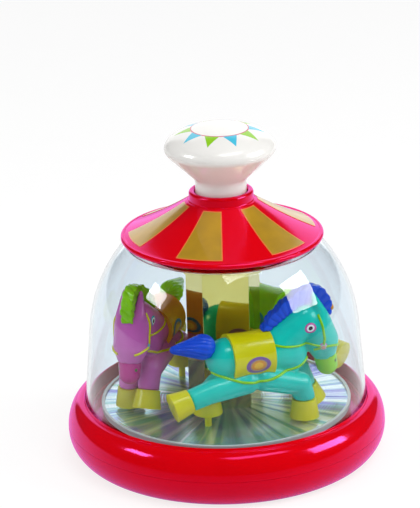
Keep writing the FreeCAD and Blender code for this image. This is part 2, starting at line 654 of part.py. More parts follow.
def make_roof_screws():
    one = screw(DOME_CROWN_Z - DOME_WALL, ROOF_SCREW_LENGTH, polar(ROOF_SCREW_CIRCLE_R, 0))
    return Part.makeCompound(ring_of(one, ROOF_SCREW_COUNT, ROOF_SCREW_FIRST_DEG))


# Knob: funnel with a hollow stem that slides in the guide tube, and a domed cap
def funnel_points(inset):
    """Corner points of the funnel's side, outside or inset by its wall."""
    edge_z = KNOB_SEAM_Z - FUNNEL_EDGE_DROP
    edge_r = KNOB_R - FUNNEL_EDGE_IN
    slope = math.atan2(edge_z - FUNNEL_START_Z, edge_r - STEM_R)
    turn = math.pi / 2.0 - slope
    arc_end = (STEM_R + FUNNEL_FILLET_R * (1.0 - math.cos(turn)),
               FUNNEL_START_Z + FUNNEL_FILLET_R * math.sin(turn))
    arc_middle = (STEM_R + FUNNEL_FILLET_R * (1.0 - math.cos(turn / 2.0)),
                  FUNNEL_START_Z + FUNNEL_FILLET_R * math.sin(turn / 2.0))
    shift = (-inset * math.sin(slope), inset * math.cos(slope))
    return arc_middle, arc_end, (edge_r, edge_z), shift


def make_knob_base():
    arc_middle, arc_end, edge, shift = funnel_points(KNOB_WALL)
    inner_r = STEM_R - STEM_WALL
    rim_r = KNOB_R - KNOB_WALL
    web_top_z = WEB_Z + WEB_T
    lap_z = KNOB_SEAM_Z - CAP_TONGUE_H - SEAT_GAP
    lean = (edge[0] - arc_end[0]) / (edge[1] - arc_end[1])

    def inside_r(z):
        return edge[0] + shift[0] + lean * (z - edge[1] - shift[1])

    shell = Outline(inner_r, STEM_BOTTOM_Z)
    shell.line(STEM_R, STEM_BOTTOM_Z)
    shell.line(STEM_R, FUNNEL_START_Z)
    shell.arc(arc_middle, arc_end)
    shell.line(*edge)
    shell.arc((KNOB_R - FUNNEL_EDGE_IN / 4.0, KNOB_SEAM_Z - FUNNEL_EDGE_DROP / 2.0),
              (KNOB_R, KNOB_SEAM_Z))
    shell.line(rim_r, KNOB_SEAM_Z)
    shell.line(rim_r, lap_z)
    shell.line(inside_r(lap_z), lap_z)
    shell.line(inside_r(web_top_z), web_top_z)
    shell.line(0, web_top_z)
    shell.line(0, WEB_Z)
    shell.line(inner_r, WEB_Z)
    solid = shell.revolve()
    boss = cylinder(ROD_BOSS_R, ROD_TWIST_TOP_Z, WEB_Z + BITE)
    key = Part.makeBox(KEY_W, KEY_H + STEM_WALL - BITE, KEY_LENGTH,
                       V(-KEY_W / 2.0, -STEM_R - KEY_H, STEM_BOTTOM_Z))
    solid = fused(solid, [boss] + ring_of(key, KEY_COUNT))
    socket_w = ROD_W + 2.0 * CLOSE_GAP
    socket_t = ROD_T + 2.0 * CLOSE_GAP
    socket = Part.makeBox(socket_w, socket_t, ROD_BOSS_H,
                          V(-socket_w / 2.0, -socket_t / 2.0, ROD_TWIST_TOP_Z))
    return solid.cut([socket, rod_pin_solid(ROD_PIN_R)])


def make_knob_cap():
    """Domed shell with a tongue that drops inside the funnel's rim."""
    tongue_r = KNOB_R - KNOB_WALL - SEAT_GAP
    inner_r = tongue_r - CAP_TONGUE_T
    shell = Outline(tongue_r, KNOB_SEAM_Z)
    shell.line(KNOB_R, KNOB_SEAM_Z)
    shell.ellipse((0, KNOB_SEAM_Z), KNOB_R, CAP_H, 0.0, TOP_DEG, CAP_SPAN_COUNT)
    shell.line(0, KNOB_TOP_Z - KNOB_WALL)
    shell.ellipse((0, KNOB_SEAM_Z), inner_r, CAP_H - KNOB_WALL, TOP_DEG, 0.0, CAP_SPAN_COUNT)
    shell.line(inner_r, KNOB_SEAM_Z - CAP_TONGUE_H)
    shell.line(tongue_r, KNOB_SEAM_Z - CAP_TONGUE_H)
    return shell.revolve()


# Twisted rod: a flat bar that turns once in its lead, straight where the knob holds it
def bar_section(width, thickness, z, degrees):
    """Rectangle across the axis at a height, turned about it."""
    corners = [V(sx * width / 2.0, sy * thickness / 2.0, z)
               for sx, sy in ((-1, -1), (1, -1), (1, 1), (-1, 1))]
    wire = Part.makePolygon(corners + corners[:1])
    return turned(wire, degrees)


def twist_deg(z):
    """How far the bar is turned at a height, none where the straight part starts."""
    return (z - ROD_TWIST_TOP_Z) * 360.0 / ROD_LEAD


def twisted_bar(width, thickness, z_low, z_high):
    step = ROD_LEAD / ROD_STEPS_PER_TURN
    steps = math.ceil((z_high - z_low) / step)
    heights = [z_low + (z_high - z_low) * i / steps for i in range(steps + 1)]
    sections = [bar_section(width, thickness, z, twist_deg(z)) for z in heights]
    return Part.makeLoft(sections, True, True)


def rod_pin_solid(radius):
    return Part.makeCylinder(radius, 2.0 * ROD_BOSS_R,
                             V(0, -ROD_BOSS_R, WEB_Z - ROD_BOSS_H / 2.0), V(0, 1, 0))


def make_drive_rod():
    twisted = twisted_bar(ROD_W, ROD_T, ROD_BOTTOM_Z, ROD_TWIST_TOP_Z)
    straight = Part.makeBox(ROD_W, ROD_T, ROD_BOSS_H,
                            V(-ROD_W / 2.0, -ROD_T / 2.0, ROD_TWIST_TOP_Z))
    return twisted.fuse(straight).cut(rod_pin_solid(ROD_PIN_R))


def smooth_arcs(start, start_way, end, end_way):
    """Two arcs that leave and arrive along given directions and meet smoothly."""
    chord = end.sub(start)
    ways = start_way.add(end_way)
    spread = 2.0 * (1.0 - start_way.dot(end_way))
    along = chord.dot(ways)
    reach = (math.sqrt(along * along + spread * chord.dot(chord)) - along) / spread
    corner_a = start.add(start_way * reach)
    corner_b = end.sub(end_way * reach)
    joint = corner_a.add(corner_b) * 0.5
    edges = []
    for low, corner, high in ((start, corner_a, joint), (joint, corner_b, end)):
        to_chord = low.add(high).multiply(0.5).sub(corner)
        half_angle = corner.sub(low).getAngle(high.sub(corner)) / 2.0
        radius = low.sub(corner).Length / math.tan(half_angle)
        sagitta = radius / math.cos(half_angle) - radius
        middle = corner.add(to_chord.normalize() * sagitta)
        edges.append(Part.Arc(low, middle, high).toShape())
    return edges


def make_return_spring():
    """Open coil between the guide tube's floor and the knob's web."""
    low_z = SPRING_SEAT_Z + SPRING_WIRE_R + SEAT_GAP
    high_z = WEB_Z - SPRING_WIRE_R - SEAT_GAP
    halves = 2 * SPRING_TURNS
    climb = (high_z - low_z) / (halves * math.pi)
    edges = []
    points = []
    for i in range(halves + 1):
        angle = math.pi * i
        place = V(SPRING_R * math.cos(angle), SPRING_R * math.sin(angle), low_z + climb * angle)
        way = V(-SPRING_R * math.sin(angle), SPRING_R * math.cos(angle), climb).normalize()
        points.append((place, way))
    for (low, low_way), (high, high_way) in zip(points, points[1:]):
        edges += smooth_arcs(low, low_way, high, high_way)
    wire_end = Part.Wire(Part.makeCircle(SPRING_WIRE_R, points[0][0], points[0][1]))
    gap = 2.0 * math.pi * climb - 2.0 * SPRING_WIRE_R
    print("return spring: least gap between turns %.2f mm" % gap)
    return Part.Wire(edges).makePipeShell([wire_end], True, False)


def main_solid(shape):
    """The main solid of a cut, without the crumbs that a cut can leave."""
    return max(shape.Solids, key=lambda solid: solid.Volume)


def at_pony(along, up, across=0.0):
    """Point of a pony in its own frame, as it is drawn."""
    return V(along, across, up)


def placed(shape):
    """A pony's piece at its real size, at the front of the turntable."""
    copy = shape.copy()
    copy.scale(PONY_SIZE, ORIGIN)
    copy.translate(V(0, -PONY_CIRCLE_R, FOIL_TOP_Z))
    return copy


# Turntable: a clear disc with a raised rim, ribs below and a hub on the axle
def pony_pegs(radius, z_low, z_high):
    """Round bars under the two planted hooves, where they are pegged to the disc."""
    bars = []
    for (knee_at, fetlock_at), side in ((FORE_PLANTED, -1), (HIND_PLANTED, 1)):
        foot = at_pony(fetlock_at[0], 0, side * LEG_SPREAD) * PONY_SIZE
        foot.y -= PONY_CIRCLE_R
        bars.append(cylinder(radius, z_low, z_high, foot))
    return bars


def make_turntable():
    rim_r = DISC_R - DISC_RIM_W
    bore_r = AXLE_R + HUB_RELIEF
    bush_top_z = HUB_BOTTOM_Z + BUSH_LENGTH
    disc = Outline(0, HUB_TOP_Z)
    disc.line(HUB_R - HUB_CHAMFER, HUB_TOP_Z)
    disc.line(HUB_R, HUB_TOP_Z - HUB_CHAMFER)
    disc.line(HUB_R, DISC_TOP_Z)
    disc.line(rim_r, DISC_TOP_Z)
    disc.line(rim_r, DISC_TOP_Z + DISC_RIM_H)
    disc.line(DISC_R, DISC_TOP_Z + DISC_RIM_H)
    disc.line(DISC_R, DISC_BOTTOM_Z)
    disc.line(HUB_R, DISC_BOTTOM_Z)
    disc.line(HUB_R, HUB_BOTTOM_Z)
    disc.line(BUSH_R, HUB_BOTTOM_Z)
    disc.line(BUSH_R, bush_top_z)
    disc.line(bore_r, bush_top_z)
    disc.line(bore_r, AXLE_TOP_Z + RUNNING_GAP)
    disc.line(0, AXLE_TOP_Z + RUNNING_GAP)
    solid = disc.revolve()
    rib = Part.makeBox(DISC_RIB_T, rim_r - HUB_R + BITE, DISC_RIB_H + BITE,
                       V(-DISC_RIB_T / 2.0, -rim_r, DISC_BOTTOM_Z - DISC_RIB_H))
    solid = fused(solid, ring_of(rib, DISC_RIB_COUNT))
    holes = []
    for colour, degrees in PONY_PLACES:
        holes += [turned(bar, degrees)
                  for bar in pony_pegs(PEG_R + SEAT_GAP, DISC_BOTTOM_Z, DISC_TOP_Z)]
        holes += [turned(bar, degrees)
                  for bar in pony_pegs(PEG_HEAD_R + SEAT_GAP, HUB_BOTTOM_Z, DISC_BOTTOM_Z)]
    at = polar(COLUMN_SCREW_CIRCLE_R, 0)
    screw_hole = cylinder(SCREW_R + SEAT_GAP, HUB_BOTTOM_Z, DISC_TOP_Z, at)
    screw_seat = cylinder(SCREW_HEAD_R + SEAT_GAP, HUB_BOTTOM_Z, DISC_BOTTOM_Z, at)
    holes += ring_of(screw_hole, COLUMN_SCREW_COUNT, COLUMN_SCREW_FIRST_DEG)
    holes += ring_of(screw_seat, COLUMN_SCREW_COUNT, COLUMN_SCREW_FIRST_DEG)
    return solid.cut(holes)


def make_foil_disc():
    foil = tube(DISC_R - DISC_RIM_W - SEAT_GAP, COLUMN_R + SEAT_GAP, DISC_TOP_Z, FOIL_TOP_Z)
    holes = []
    for colour, degrees in PONY_PLACES:
        holes += [turned(bar, degrees)
                  for bar in pony_pegs(PEG_R + SEAT_GAP, DISC_TOP_Z, FOIL_TOP_Z)]
    return foil.cut(holes)


def make_hub_bush():
    return tube(BUSH_R, AXLE_R + CLOSE_GAP, HUB_BOTTOM_Z, HUB_BOTTOM_Z + BUSH_LENGTH)


def make_axle():
    axle = Outline(0, AXLE_BOTTOM_Z)
    axle.line(AXLE_R, AXLE_BOTTOM_Z)
    axle.line(AXLE_R, AXLE_TOP_Z - AXLE_CHAMFER)
    axle.line(AXLE_R - AXLE_CHAMFER, AXLE_TOP_Z)
    axle.line(0, AXLE_TOP_Z)
    return axle.revolve()


def make_thrust_washer():
    return tube(WASHER_R, AXLE_R + CLOSE_GAP, BOSS_TOP_Z, BOSS_TOP_Z + WASHER_T)


# Column: a mirrored five-sided tube on the disc, with a head that houses the clutch
def prism(corner_r, z_low, z_high):
    corners = [polar(corner_r, COLUMN_FIRST_CORNER_DEG + 360.0 * i / COLUMN_SIDES, z_low)
               for i in range(COLUMN_SIDES)]
    face = Part.Face(Part.makePolygon(corners + corners[:1]))
    return face.extrude(V(0, 0, z_high - z_low))


COLUMN_INNER_R = COLUMN_R - COLUMN_WALL / math.cos(math.pi / COLUMN_SIDES)


def make_column():
    floor_z = DISC_TOP_Z + COLUMN_FLANGE_T
    shell = prism(COLUMN_R, DISC_TOP_Z, COLUMN_TOP_Z)
    shell = shell.cut(prism(COLUMN_INNER_R, floor_z, COLUMN_TOP_Z))
    hub_hole = cylinder(HUB_R + SEAT_GAP, DISC_TOP_Z, floor_z)
    pilot = cylinder(PILOT_R, DISC_TOP_Z, floor_z, polar(COLUMN_SCREW_CIRCLE_R, 0))
    return shell.cut([hub_hole] + ring_of(pilot, COLUMN_SCREW_COUNT, COLUMN_SCREW_FIRST_DEG))


def make_column_screws():
    one = screw(DISC_BOTTOM_Z, DISC_T + COLUMN_FLANGE_T, polar(COLUMN_SCREW_CIRCLE_R, 0))
    return Part.makeCompound(ring_of(one, COLUMN_SCREW_COUNT, COLUMN_SCREW_FIRST_DEG))


def crown_teeth(z_low, first_degrees):
    """Ring of square teeth, each half as wide as its pitch less the play."""
    width = 180.0 / TOOTH_COUNT - TOOTH_PLAY_DEG
    tooth = Outline(TOOTH_INNER_R, z_low)
    tooth.line(TOOTH_OUTER_R, z_low)
    tooth.line(TOOTH_OUTER_R, z_low + TOOTH_H + BITE)
    tooth.line(TOOTH_INNER_R, z_low + TOOTH_H + BITE)
    return ring_of(tooth.revolve(width), TOOTH_COUNT, first_degrees)


def make_column_head():
    plug_r = COLUMN_INNER_R - SEAT_GAP
    solid = prism(COLUMN_R, COLUMN_TOP_Z, HEAD_TOP_Z)
    solid = solid.fuse(prism(plug_r, HEAD_BOTTOM_Z, COLUMN_TOP_Z))
    seat_r = CAVITY_R + COVER_LEDGE
    bore = Outline(0, HEAD_BOTTOM_Z)
    bore.line(ROD_HOLE_R, HEAD_BOTTOM_Z)
    bore.line(ROD_HOLE_R, CLUTCH_FLOOR_Z)
    bore.line(CAVITY_R, CLUTCH_FLOOR_Z)
    bore.line(CAVITY_R, COVER_Z)
    bore.line(seat_r, COVER_Z)
    bore.line(seat_r, HEAD_TOP_Z)
    bore.line(0, HEAD_TOP_Z)
    solid = solid.cut(bore.revolve())
    return fused(solid, crown_teeth(CLUTCH_FLOOR_Z - BITE, 0.0))


def make_clutch_cover():
    return tube(CAVITY_R + COVER_LEDGE - CLOSE_GAP, ROD_HOLE_R, COVER_Z, COVER_Z + COVER_T)


def make_drive_nut():
    """Disc with a twisted slot for the rod and crown teeth on its underside."""
    low_z = NUT_BOTTOM_Z + TOOTH_H
    step = ROD_LEAD / ROD_STEPS_PER_TURN
    solid = cylinder(NUT_R, low_z, NUT_TOP_Z)
    solid = fused(solid, crown_teeth(NUT_BOTTOM_Z, 180.0 / TOOTH_COUNT))
    slot = twisted_bar(ROD_W + 2.0 * RUNNING_GAP, ROD_T + 2.0 * RUNNING_GAP,
                       low_z - step, NUT_TOP_Z + step)
    return solid.cut(slot)


# Ponies. One is drawn in its own frame, galloping towards +X with the foil at z = 0, and
# turned about the axis of the toy to three places.
def tapered_bar(start, start_r, end, end_r):
    """Round bar between two ball ends of different radii, with a smooth taper."""
    along = end.sub(start)
    length = along.Length
    tilt = math.asin((start_r - end_r) / length)

    def on(centre_x, radius, angle):
        return V(centre_x + radius * math.cos(angle), 0, radius * math.sin(angle))

    touch = math.pi / 2.0 - tilt
    first = on(0, start_r, math.pi)
    first_touch = on(0, start_r, touch)
    last_touch = on(length, end_r, touch)
    last = on(length, end_r, 0)
    edges = [
        Part.Arc(first, on(0, start_r, (math.pi + touch) / 2.0), first_touch).toShape(),
        Part.makeLine(first_touch, last_touch),
        Part.Arc(last_touch, on(length, end_r, touch / 2.0), last).toShape(),
        Part.makeLine(last, first),
    ]
    solid = Part.Face(Part.Wire(edges)).revolve(ORIGIN, AHEAD, 360.0)
    solid.Placement = FreeCAD.Placement(start, FreeCAD.Rotation(AHEAD, along))
    return solid


def pony_legs():
    """Hip, knee and fetlock of each leg, and the way its hoof points."""
    legs = []
    for side, front, (knee_at, fetlock_at), planted in (
            (-1, 1, FORE_PLANTED, True), (1, 1, FORE_RAISED, False),
            (1, -1, HIND_PLANTED, True), (-1, -1, HIND_RAISED, False)):
        hip = at_pony(front * HIP_ALONG, HIP_UP, side * HIP_SPREAD)
        knee = at_pony(*knee_at, side * LEG_SPREAD)
        fetlock = at_pony(*fetlock_at, side * LEG_SPREAD)
        pointing = V(0, 0, -1) if planted else fetlock.sub(knee).normalize()
        legs.append((hip, knee, fetlock, pointing))
    return legs


def make_pony_hooves():
    return [Part.makeCone(HOOF_TOP_R, HOOF_SOLE_R, HOOF_H, fetlock, pointing)
            for hip, knee, fetlock, pointing in pony_legs()]


def pegged(hooves):
    """The hooves in place. Each planted one stands clear of the foil on a peg with a staked
    head under the disc."""
    pieces = [placed(hoof) for hoof in hooves]
    pegs = []
    tops = [FOIL_TOP_Z + PONY_SIZE * (fetlock_up - HOOF_H) + BITE
            for fetlock_up in (FORE_PLANTED[1][1], HIND_PLANTED[1][1])]
    stakes = pony_pegs(PEG_HEAD_R, DISC_BOTTOM_Z - PEG_HEAD_H, DISC_BOTTOM_Z)
    for i, (top, stake) in enumerate(zip(tops, stakes)):
        pegs.append(fused(pony_pegs(PEG_R, DISC_BOTTOM_Z - PEG_HEAD_H, top)[i], [stake]))
    return [fused(pieces[0], [pegs[0]]), pieces[1], fused(pieces[2], [pegs[1]]), pieces[3]]


def make_pony_muzzle():
    return tapered_bar(at_pony(*LIP), MUZZLE_R, at_pony(*CHIN), CHIN_R)


def make_pony_body(hooves, muzzle):
    """Barrel, neck, head, ears and legs in one, with room for the hooves and the muzzle."""
    barrel = tapered_bar(at_pony(*RUMP), BARREL_R, at_pony(*GIRTH), GIRTH_R)
    limbs = [tapered_bar(at_pony(*GIRTH), GIRTH_R - BITE, at_pony(*CHEST), CHEST_R),
             tapered_bar(at_pony(*WITHERS), WITHERS_R, at_pony(*POLL), POLL_R),
             tapered_bar(at_pony(*BROW), BROW_R, at_pony(*NOSE), NOSE_R),
             tapered_bar(at_pony(*NOSE), NOSE_R - BITE, at_pony(*LIP), LIP_R)]
    for side in (-1, 1):
        limbs.append(tapered_bar(at_pony(*EAR_ROOT, side * EAR_SPREAD), EAR_ROOT_R,
                                 at_pony(*EAR_TIP, side * EAR_SPREAD), EAR_TIP_R))
    for hip, knee, fetlock, pointing in pony_legs():
        limbs.append(tapered_bar(hip, THIGH_R, knee, KNEE_R))
        limbs.append(tapered_bar(knee, SHIN_R, fetlock, FETLOCK_R))
    return fused(barrel, limbs).cut(hooves + [muzzle])


def make_pony_saddle(body):
    """Saddle blanket wrapped round the barrel, its front and back edges rolled up."""
    inner_r = BARREL_R - SADDLE_SINK
    outer_r = BARREL_R + SADDLE_T
    edge_r = outer_r + SADDLE_RISE
    middle = V((SADDLE_BACK + SADDLE_FRONT) / 2.0, 0, outer_r)
    back_low = V(SADDLE_BACK, 0, inner_r)
    back_high = V(SADDLE_BACK, 0, edge_r)
    front_low = V(SADDLE_FRONT, 0, inner_r)
    front_high = V(SADDLE_FRONT, 0, edge_r)
    profile = [Part.makeLine(back_low, back_high),
               Part.Arc(back_high, middle, front_high).toShape(),
               Part.makeLine(front_high, front_low),
               Part.makeLine(front_low, back_low)]
    wrap = Part.Face(Part.Wire(profile)).revolve(ORIGIN, AHEAD, 2.0 * SADDLE_WRAP_DEG)
    wrap.rotate(ORIGIN, AHEAD, -SADDLE_WRAP_DEG)
    wrap.translate(at_pony(0, RUMP[1]))
    return main_solid(wrap.cut(body))


def make_pony_mane(body, saddle):
    """Crest plate that runs up the neck, over the poll and down the forehead in locks."""
    edges = []
    for (along_a, up_a), (along_b, up_b) in zip(MANE_LOCKS, MANE_LOCKS[1:]):
        middle = at_pony((along_a + along_b) / 2.0 - MANE_BULGE * (up_b - up_a),
                         (up_a + up_b) / 2.0 + MANE_BULGE * (along_b - along_a))
        edges.append(Part.Arc(at_pony(along_a, up_a), middle, at_pony(along_b, up_b)).toShape())
    inside = [at_pony(*spot) for spot in (MANE_LOCKS[-1], *MANE_UNDERSIDE, MANE_LOCKS[0])]
    edges += [Part.makeLine(a, b) for a, b in zip(inside, inside[1:])]
    plate = Part.Face(Part.Wire(edges)).extrude(V(0, MANE_W, 0))
    plate.translate(V(0, -MANE_W / 2.0, 0))
    return main_solid(plate.cut([body, saddle]))


def make_pony_tail(body):
    tail = tapered_bar(at_pony(*TAIL_ROOT), TAIL_ROOT_R, at_pony(*TAIL_TIP), TAIL_TIP_R)
    return main_solid(tail.cut(body))


def make_pony():
    hooves = make_pony_hooves()
    muzzle = make_pony_muzzle()
    body = make_pony_body(hooves, muzzle)
    saddle = make_pony_saddle(body)
    return {
        "body": placed(body),
        "saddle": placed(saddle),
        "mane": placed(make_pony_mane(body, saddle)),
        "tail": placed(make_pony_tail(body)),
        "hooves": Part.makeCompound(pegged(hooves)),
        "muzzle": placed(muzzle),
    }


def build():
    nodes = {
        "base_top": make_base_top(),
        "base_bottom": make_base_bottom(),
        "base_screws": make_base_screws(),
        "dome": make_dome(),
        "roof_cone": make_roof_cone(),
        "roof_stripes": make_roof_stripes(),
        "roof_screws": make_roof_screws(),
        "knob_base": make_knob_base(),
        "knob_cap": make_knob_cap(),
        "drive_rod": make_drive_rod(),
        "rod_pin": rod_pin_solid(ROD_PIN_R),
        "return_spring": make_return_spring(),
        "turntable": make_turntable(),
        "foil_disc": make_foil_disc(),
        "hub_bush": make_hub_bush(),
        "axle": make_axle(),
        "thrust_washer": make_thrust_washer(),
        "column": make_column(),
        "column_screws": make_column_screws(),
        "column_head": make_column_head(),
        "clutch_cover": make_clutch_cover(),
        "drive_nut": make_drive_nut(),
    }
    pony = make_pony()
    for colour, degrees in PONY_PLACES:
        for piece, shape in pony.items():
            nodes["%s_pony_%s" % (colour, piece)] = turned(shape, degrees)
    return nodes


os.makedirs("parts", exist_ok=True)
for name, shape in build().items():
    if not shape.isValid():
        print("not valid:", name)
    shape.exportStep("parts/%s.step" % name)
    print("%-20s solids %2d  volume %10.1f" % (name, len(shape.Solids), shape.Volume))
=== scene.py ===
import math

import bmesh
import bpy
from mathutils import Matrix, Vector
from mathutils.bvhtree import BVHTree


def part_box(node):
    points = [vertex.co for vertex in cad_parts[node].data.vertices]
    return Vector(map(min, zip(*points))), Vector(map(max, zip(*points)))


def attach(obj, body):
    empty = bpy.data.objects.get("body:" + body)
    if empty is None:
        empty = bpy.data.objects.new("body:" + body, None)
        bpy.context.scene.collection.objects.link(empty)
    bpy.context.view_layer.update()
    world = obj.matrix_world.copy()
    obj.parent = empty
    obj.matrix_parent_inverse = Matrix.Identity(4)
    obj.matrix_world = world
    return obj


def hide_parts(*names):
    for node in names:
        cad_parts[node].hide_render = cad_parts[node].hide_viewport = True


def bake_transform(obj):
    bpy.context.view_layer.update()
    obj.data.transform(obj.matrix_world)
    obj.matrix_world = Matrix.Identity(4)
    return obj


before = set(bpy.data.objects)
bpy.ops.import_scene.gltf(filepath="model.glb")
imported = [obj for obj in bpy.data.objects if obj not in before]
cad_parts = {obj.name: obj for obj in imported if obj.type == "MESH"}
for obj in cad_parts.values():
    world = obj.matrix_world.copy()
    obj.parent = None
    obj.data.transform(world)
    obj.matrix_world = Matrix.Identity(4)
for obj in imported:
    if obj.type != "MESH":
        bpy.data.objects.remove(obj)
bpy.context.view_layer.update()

scene = bpy.context.scene


# The view. The toy was photographed from in front and above, 1.4 m away, with a long lens.
# The angles come from a camera fitted to the outlines of the base, the dome and the brim.
CAMERA_PLACE = Vector((0.0, -1.300, 0.5858))
CAMERA_PITCH = 0.34319
CAMERA_YAW = -0.00567
CAMERA_ROLL = -0.02689
FOCAL_PIXELS = 2353.1
PICTURE_HEIGHT = 508
FILM_MM = 36.0

ahead = Vector((math.sin(CAMERA_YAW) * math.cos(CAMERA_PITCH),
                math.cos(CAMERA_YAW) * math.cos(CAMERA_PITCH), -math.sin(CAMERA_PITCH)))
level = Vector((math.cos(CAMERA_YAW), -math.sin(CAMERA_YAW), 0.0))
upright = level.cross(ahead)
right = level * math.cos(CAMERA_ROLL) + upright * math.sin(CAMERA_ROLL)
above = upright * math.cos(CAMERA_ROLL) - level * math.sin(CAMERA_ROLL)
lens = bpy.data.cameras.new("camera")
lens.sensor_fit = "VERTICAL"
lens.sensor_height = FILM_MM
lens.lens = FOCAL_PIXELS / PICTURE_HEIGHT * FILM_MM
lens.clip_end = 20.0
camera = bpy.data.objects.new("camera", lens)
scene.collection.objects.link(camera)
camera.matrix_world = Matrix.Translation(CAMERA_PLACE) @ Matrix((right, above, -ahead)).transposed().to_4x4()
scene.camera = camera
scene.view_settings.view_transform = "Standard"


# Table top and room. The toy stands on a white studio table that runs up behind it, in a
# room that is dark overhead and in front. Gloss shows the white behind, glass shows it too.
MM = 0.001
FLOOR_SIZE = 6.0
PAINT_BLOTCH_MM = 25.0
GLOW_SHARE = 0.68        # of the white that the eye sees; the rest takes the toy's shadow
FLOOR_GLOW = 1.13
FRONT_GLOSS = 0.25       # the table in front of the toy, as gloss shows it
FRONT_BEGINS_Y, FRONT_WHOLE_Y = 0.05, -0.25
ROOM_LIGHT = 0.55        # what the room gives a dull surface
ROOM_GLOSS = 0.08        # the dark of the room in a glossy one
BACKDROP_GLOSS = 1.5     # the lit backdrop, brighter than the paper white
BACKDROP_DEG = 27.0      # half width of the white behind the toy, seen from the toy
BACKDROP_TOP = 0.72      # its top edge, as the sine of its height
EDGE_SOFT = 0.04
JUST_BEHIND = 0.001      # keeps the division by a direction's depth clear of zero
SMOOTH = {"interpolation_type": "SMOOTHSTEP"}


def colour(hex_code, alpha=1.0):
    """sRGB hex code as linear red, green, blue and alpha."""
    parts = [int(hex_code[i:i + 2], 16) / 255.0 for i in (1, 3, 5)]
    return [p / 12.92 if p <= 0.04045 else ((p + 0.055) / 1.055) ** 2.4 for p in parts] + [alpha]


def add(tree, kind, settings=(), inputs=()):
    """Adds a node, sets it up and feeds its inputs. A shader node is named without its prefix.

    A word as the settings is the node's operation, and a plain tuple feeds the inputs in order.
    An input takes a value, a socket, or another node, which stands for its first output.
    """
    made = tree.nodes.new(kind if "Node" in kind else "ShaderNode" + kind)
    if isinstance(settings, str):
        settings = {"operation": settings}
    for name, value in dict(settings).items():
        setattr(made, name, value)
    if isinstance(inputs, tuple):
        inputs = dict(enumerate(inputs))
    for name, value in inputs.items():
        if isinstance(value, bpy.types.Node):
            value = value.outputs[0]
        if isinstance(value, bpy.types.NodeSocket):
            tree.links.new(value, made.inputs[name])
        else:
            made.inputs[name].default_value = value
    return made


def new_material(name):
    """An empty node material, its tree, and the place on the object that its patterns follow."""
    material = bpy.data.materials.new(name)
    material.use_nodes = True
    tree = material.node_tree
    tree.nodes.clear()
    return material, tree, add(tree, "TexCoord").outputs["Object"]


def surfaced(material, tree, shader):
    """The material, with the shader as its surface."""
    add(tree, "OutputMaterial", {}, {"Surface": shader})
    return material


def table_top_paint():
    """Matt white paint, faintly blotched by its roller. The eye, gloss and glass see it glow."""
    material, tree, place = new_material("matt_white_table_paint")
    grain = add(tree, "TexNoise", {},
                {"Vector": place, "Scale": 1 / (PAINT_BLOTCH_MM * MM), "Detail": 3.0})
    tone = add(tree, "MapRange", {}, {0: grain, 3: 0.80, 4: 0.84})
    paint = add(tree, "BsdfPrincipled", {},
                {"Base Color": tone, "Roughness": 0.8, "Specular IOR Level": 0.2})
    ray = add(tree, "LightPath").outputs
    depth_y = add(tree, "SeparateXYZ", {}, (place,)).outputs[1]
    # painted shade: in glossy reflections the table in front of the toy glows dimmer than the rest, as if it
    # were unlit
    in_front = add(tree, "MapRange", SMOOTH, (depth_y, FRONT_BEGINS_Y, FRONT_WHOLE_Y))
    outside = add(tree, "Math", "SUBTRACT", (ray["Is Glossy Ray"], ray["Is Transmission Ray"]))
    mirrored = add(tree, "Math", "MAXIMUM", (outside, 0.0))
    dimmed = add(tree, "Math", "MULTIPLY", (in_front, mirrored))
    strength = add(tree, "Math", "MULTIPLY_ADD", (dimmed, FRONT_GLOSS - FLOOR_GLOW, FLOOR_GLOW))
    glow = add(tree, "Emission", {}, {"Color": colour("#FFFFFF"), "Strength": strength})
    seen = add(tree, "Math", "MAXIMUM", (ray["Is Camera Ray"], ray["Is Transmission Ray"]))
    seen = add(tree, "Math", "MAXIMUM", (seen, ray["Is Glossy Ray"]))
    share = add(tree, "Math", "MULTIPLY", (seen, GLOW_SHARE))
    both = add(tree, "MixShader", {}, (share, paint, glow))
    return surfaced(material, tree, both)


floor_mesh = bpy.data.meshes.new("table_top")
half = FLOOR_SIZE / 2.0
floor_mesh.from_pydata([(-half, -half, 0), (half, -half, 0), (half, half, 0), (-half, half, 0)],
                       [], [(0, 1, 2, 3)])
table_top = bpy.data.objects.new("table_top", floor_mesh)
scene.collection.objects.link(table_top)
table_top.data.materials.append(table_top_paint())


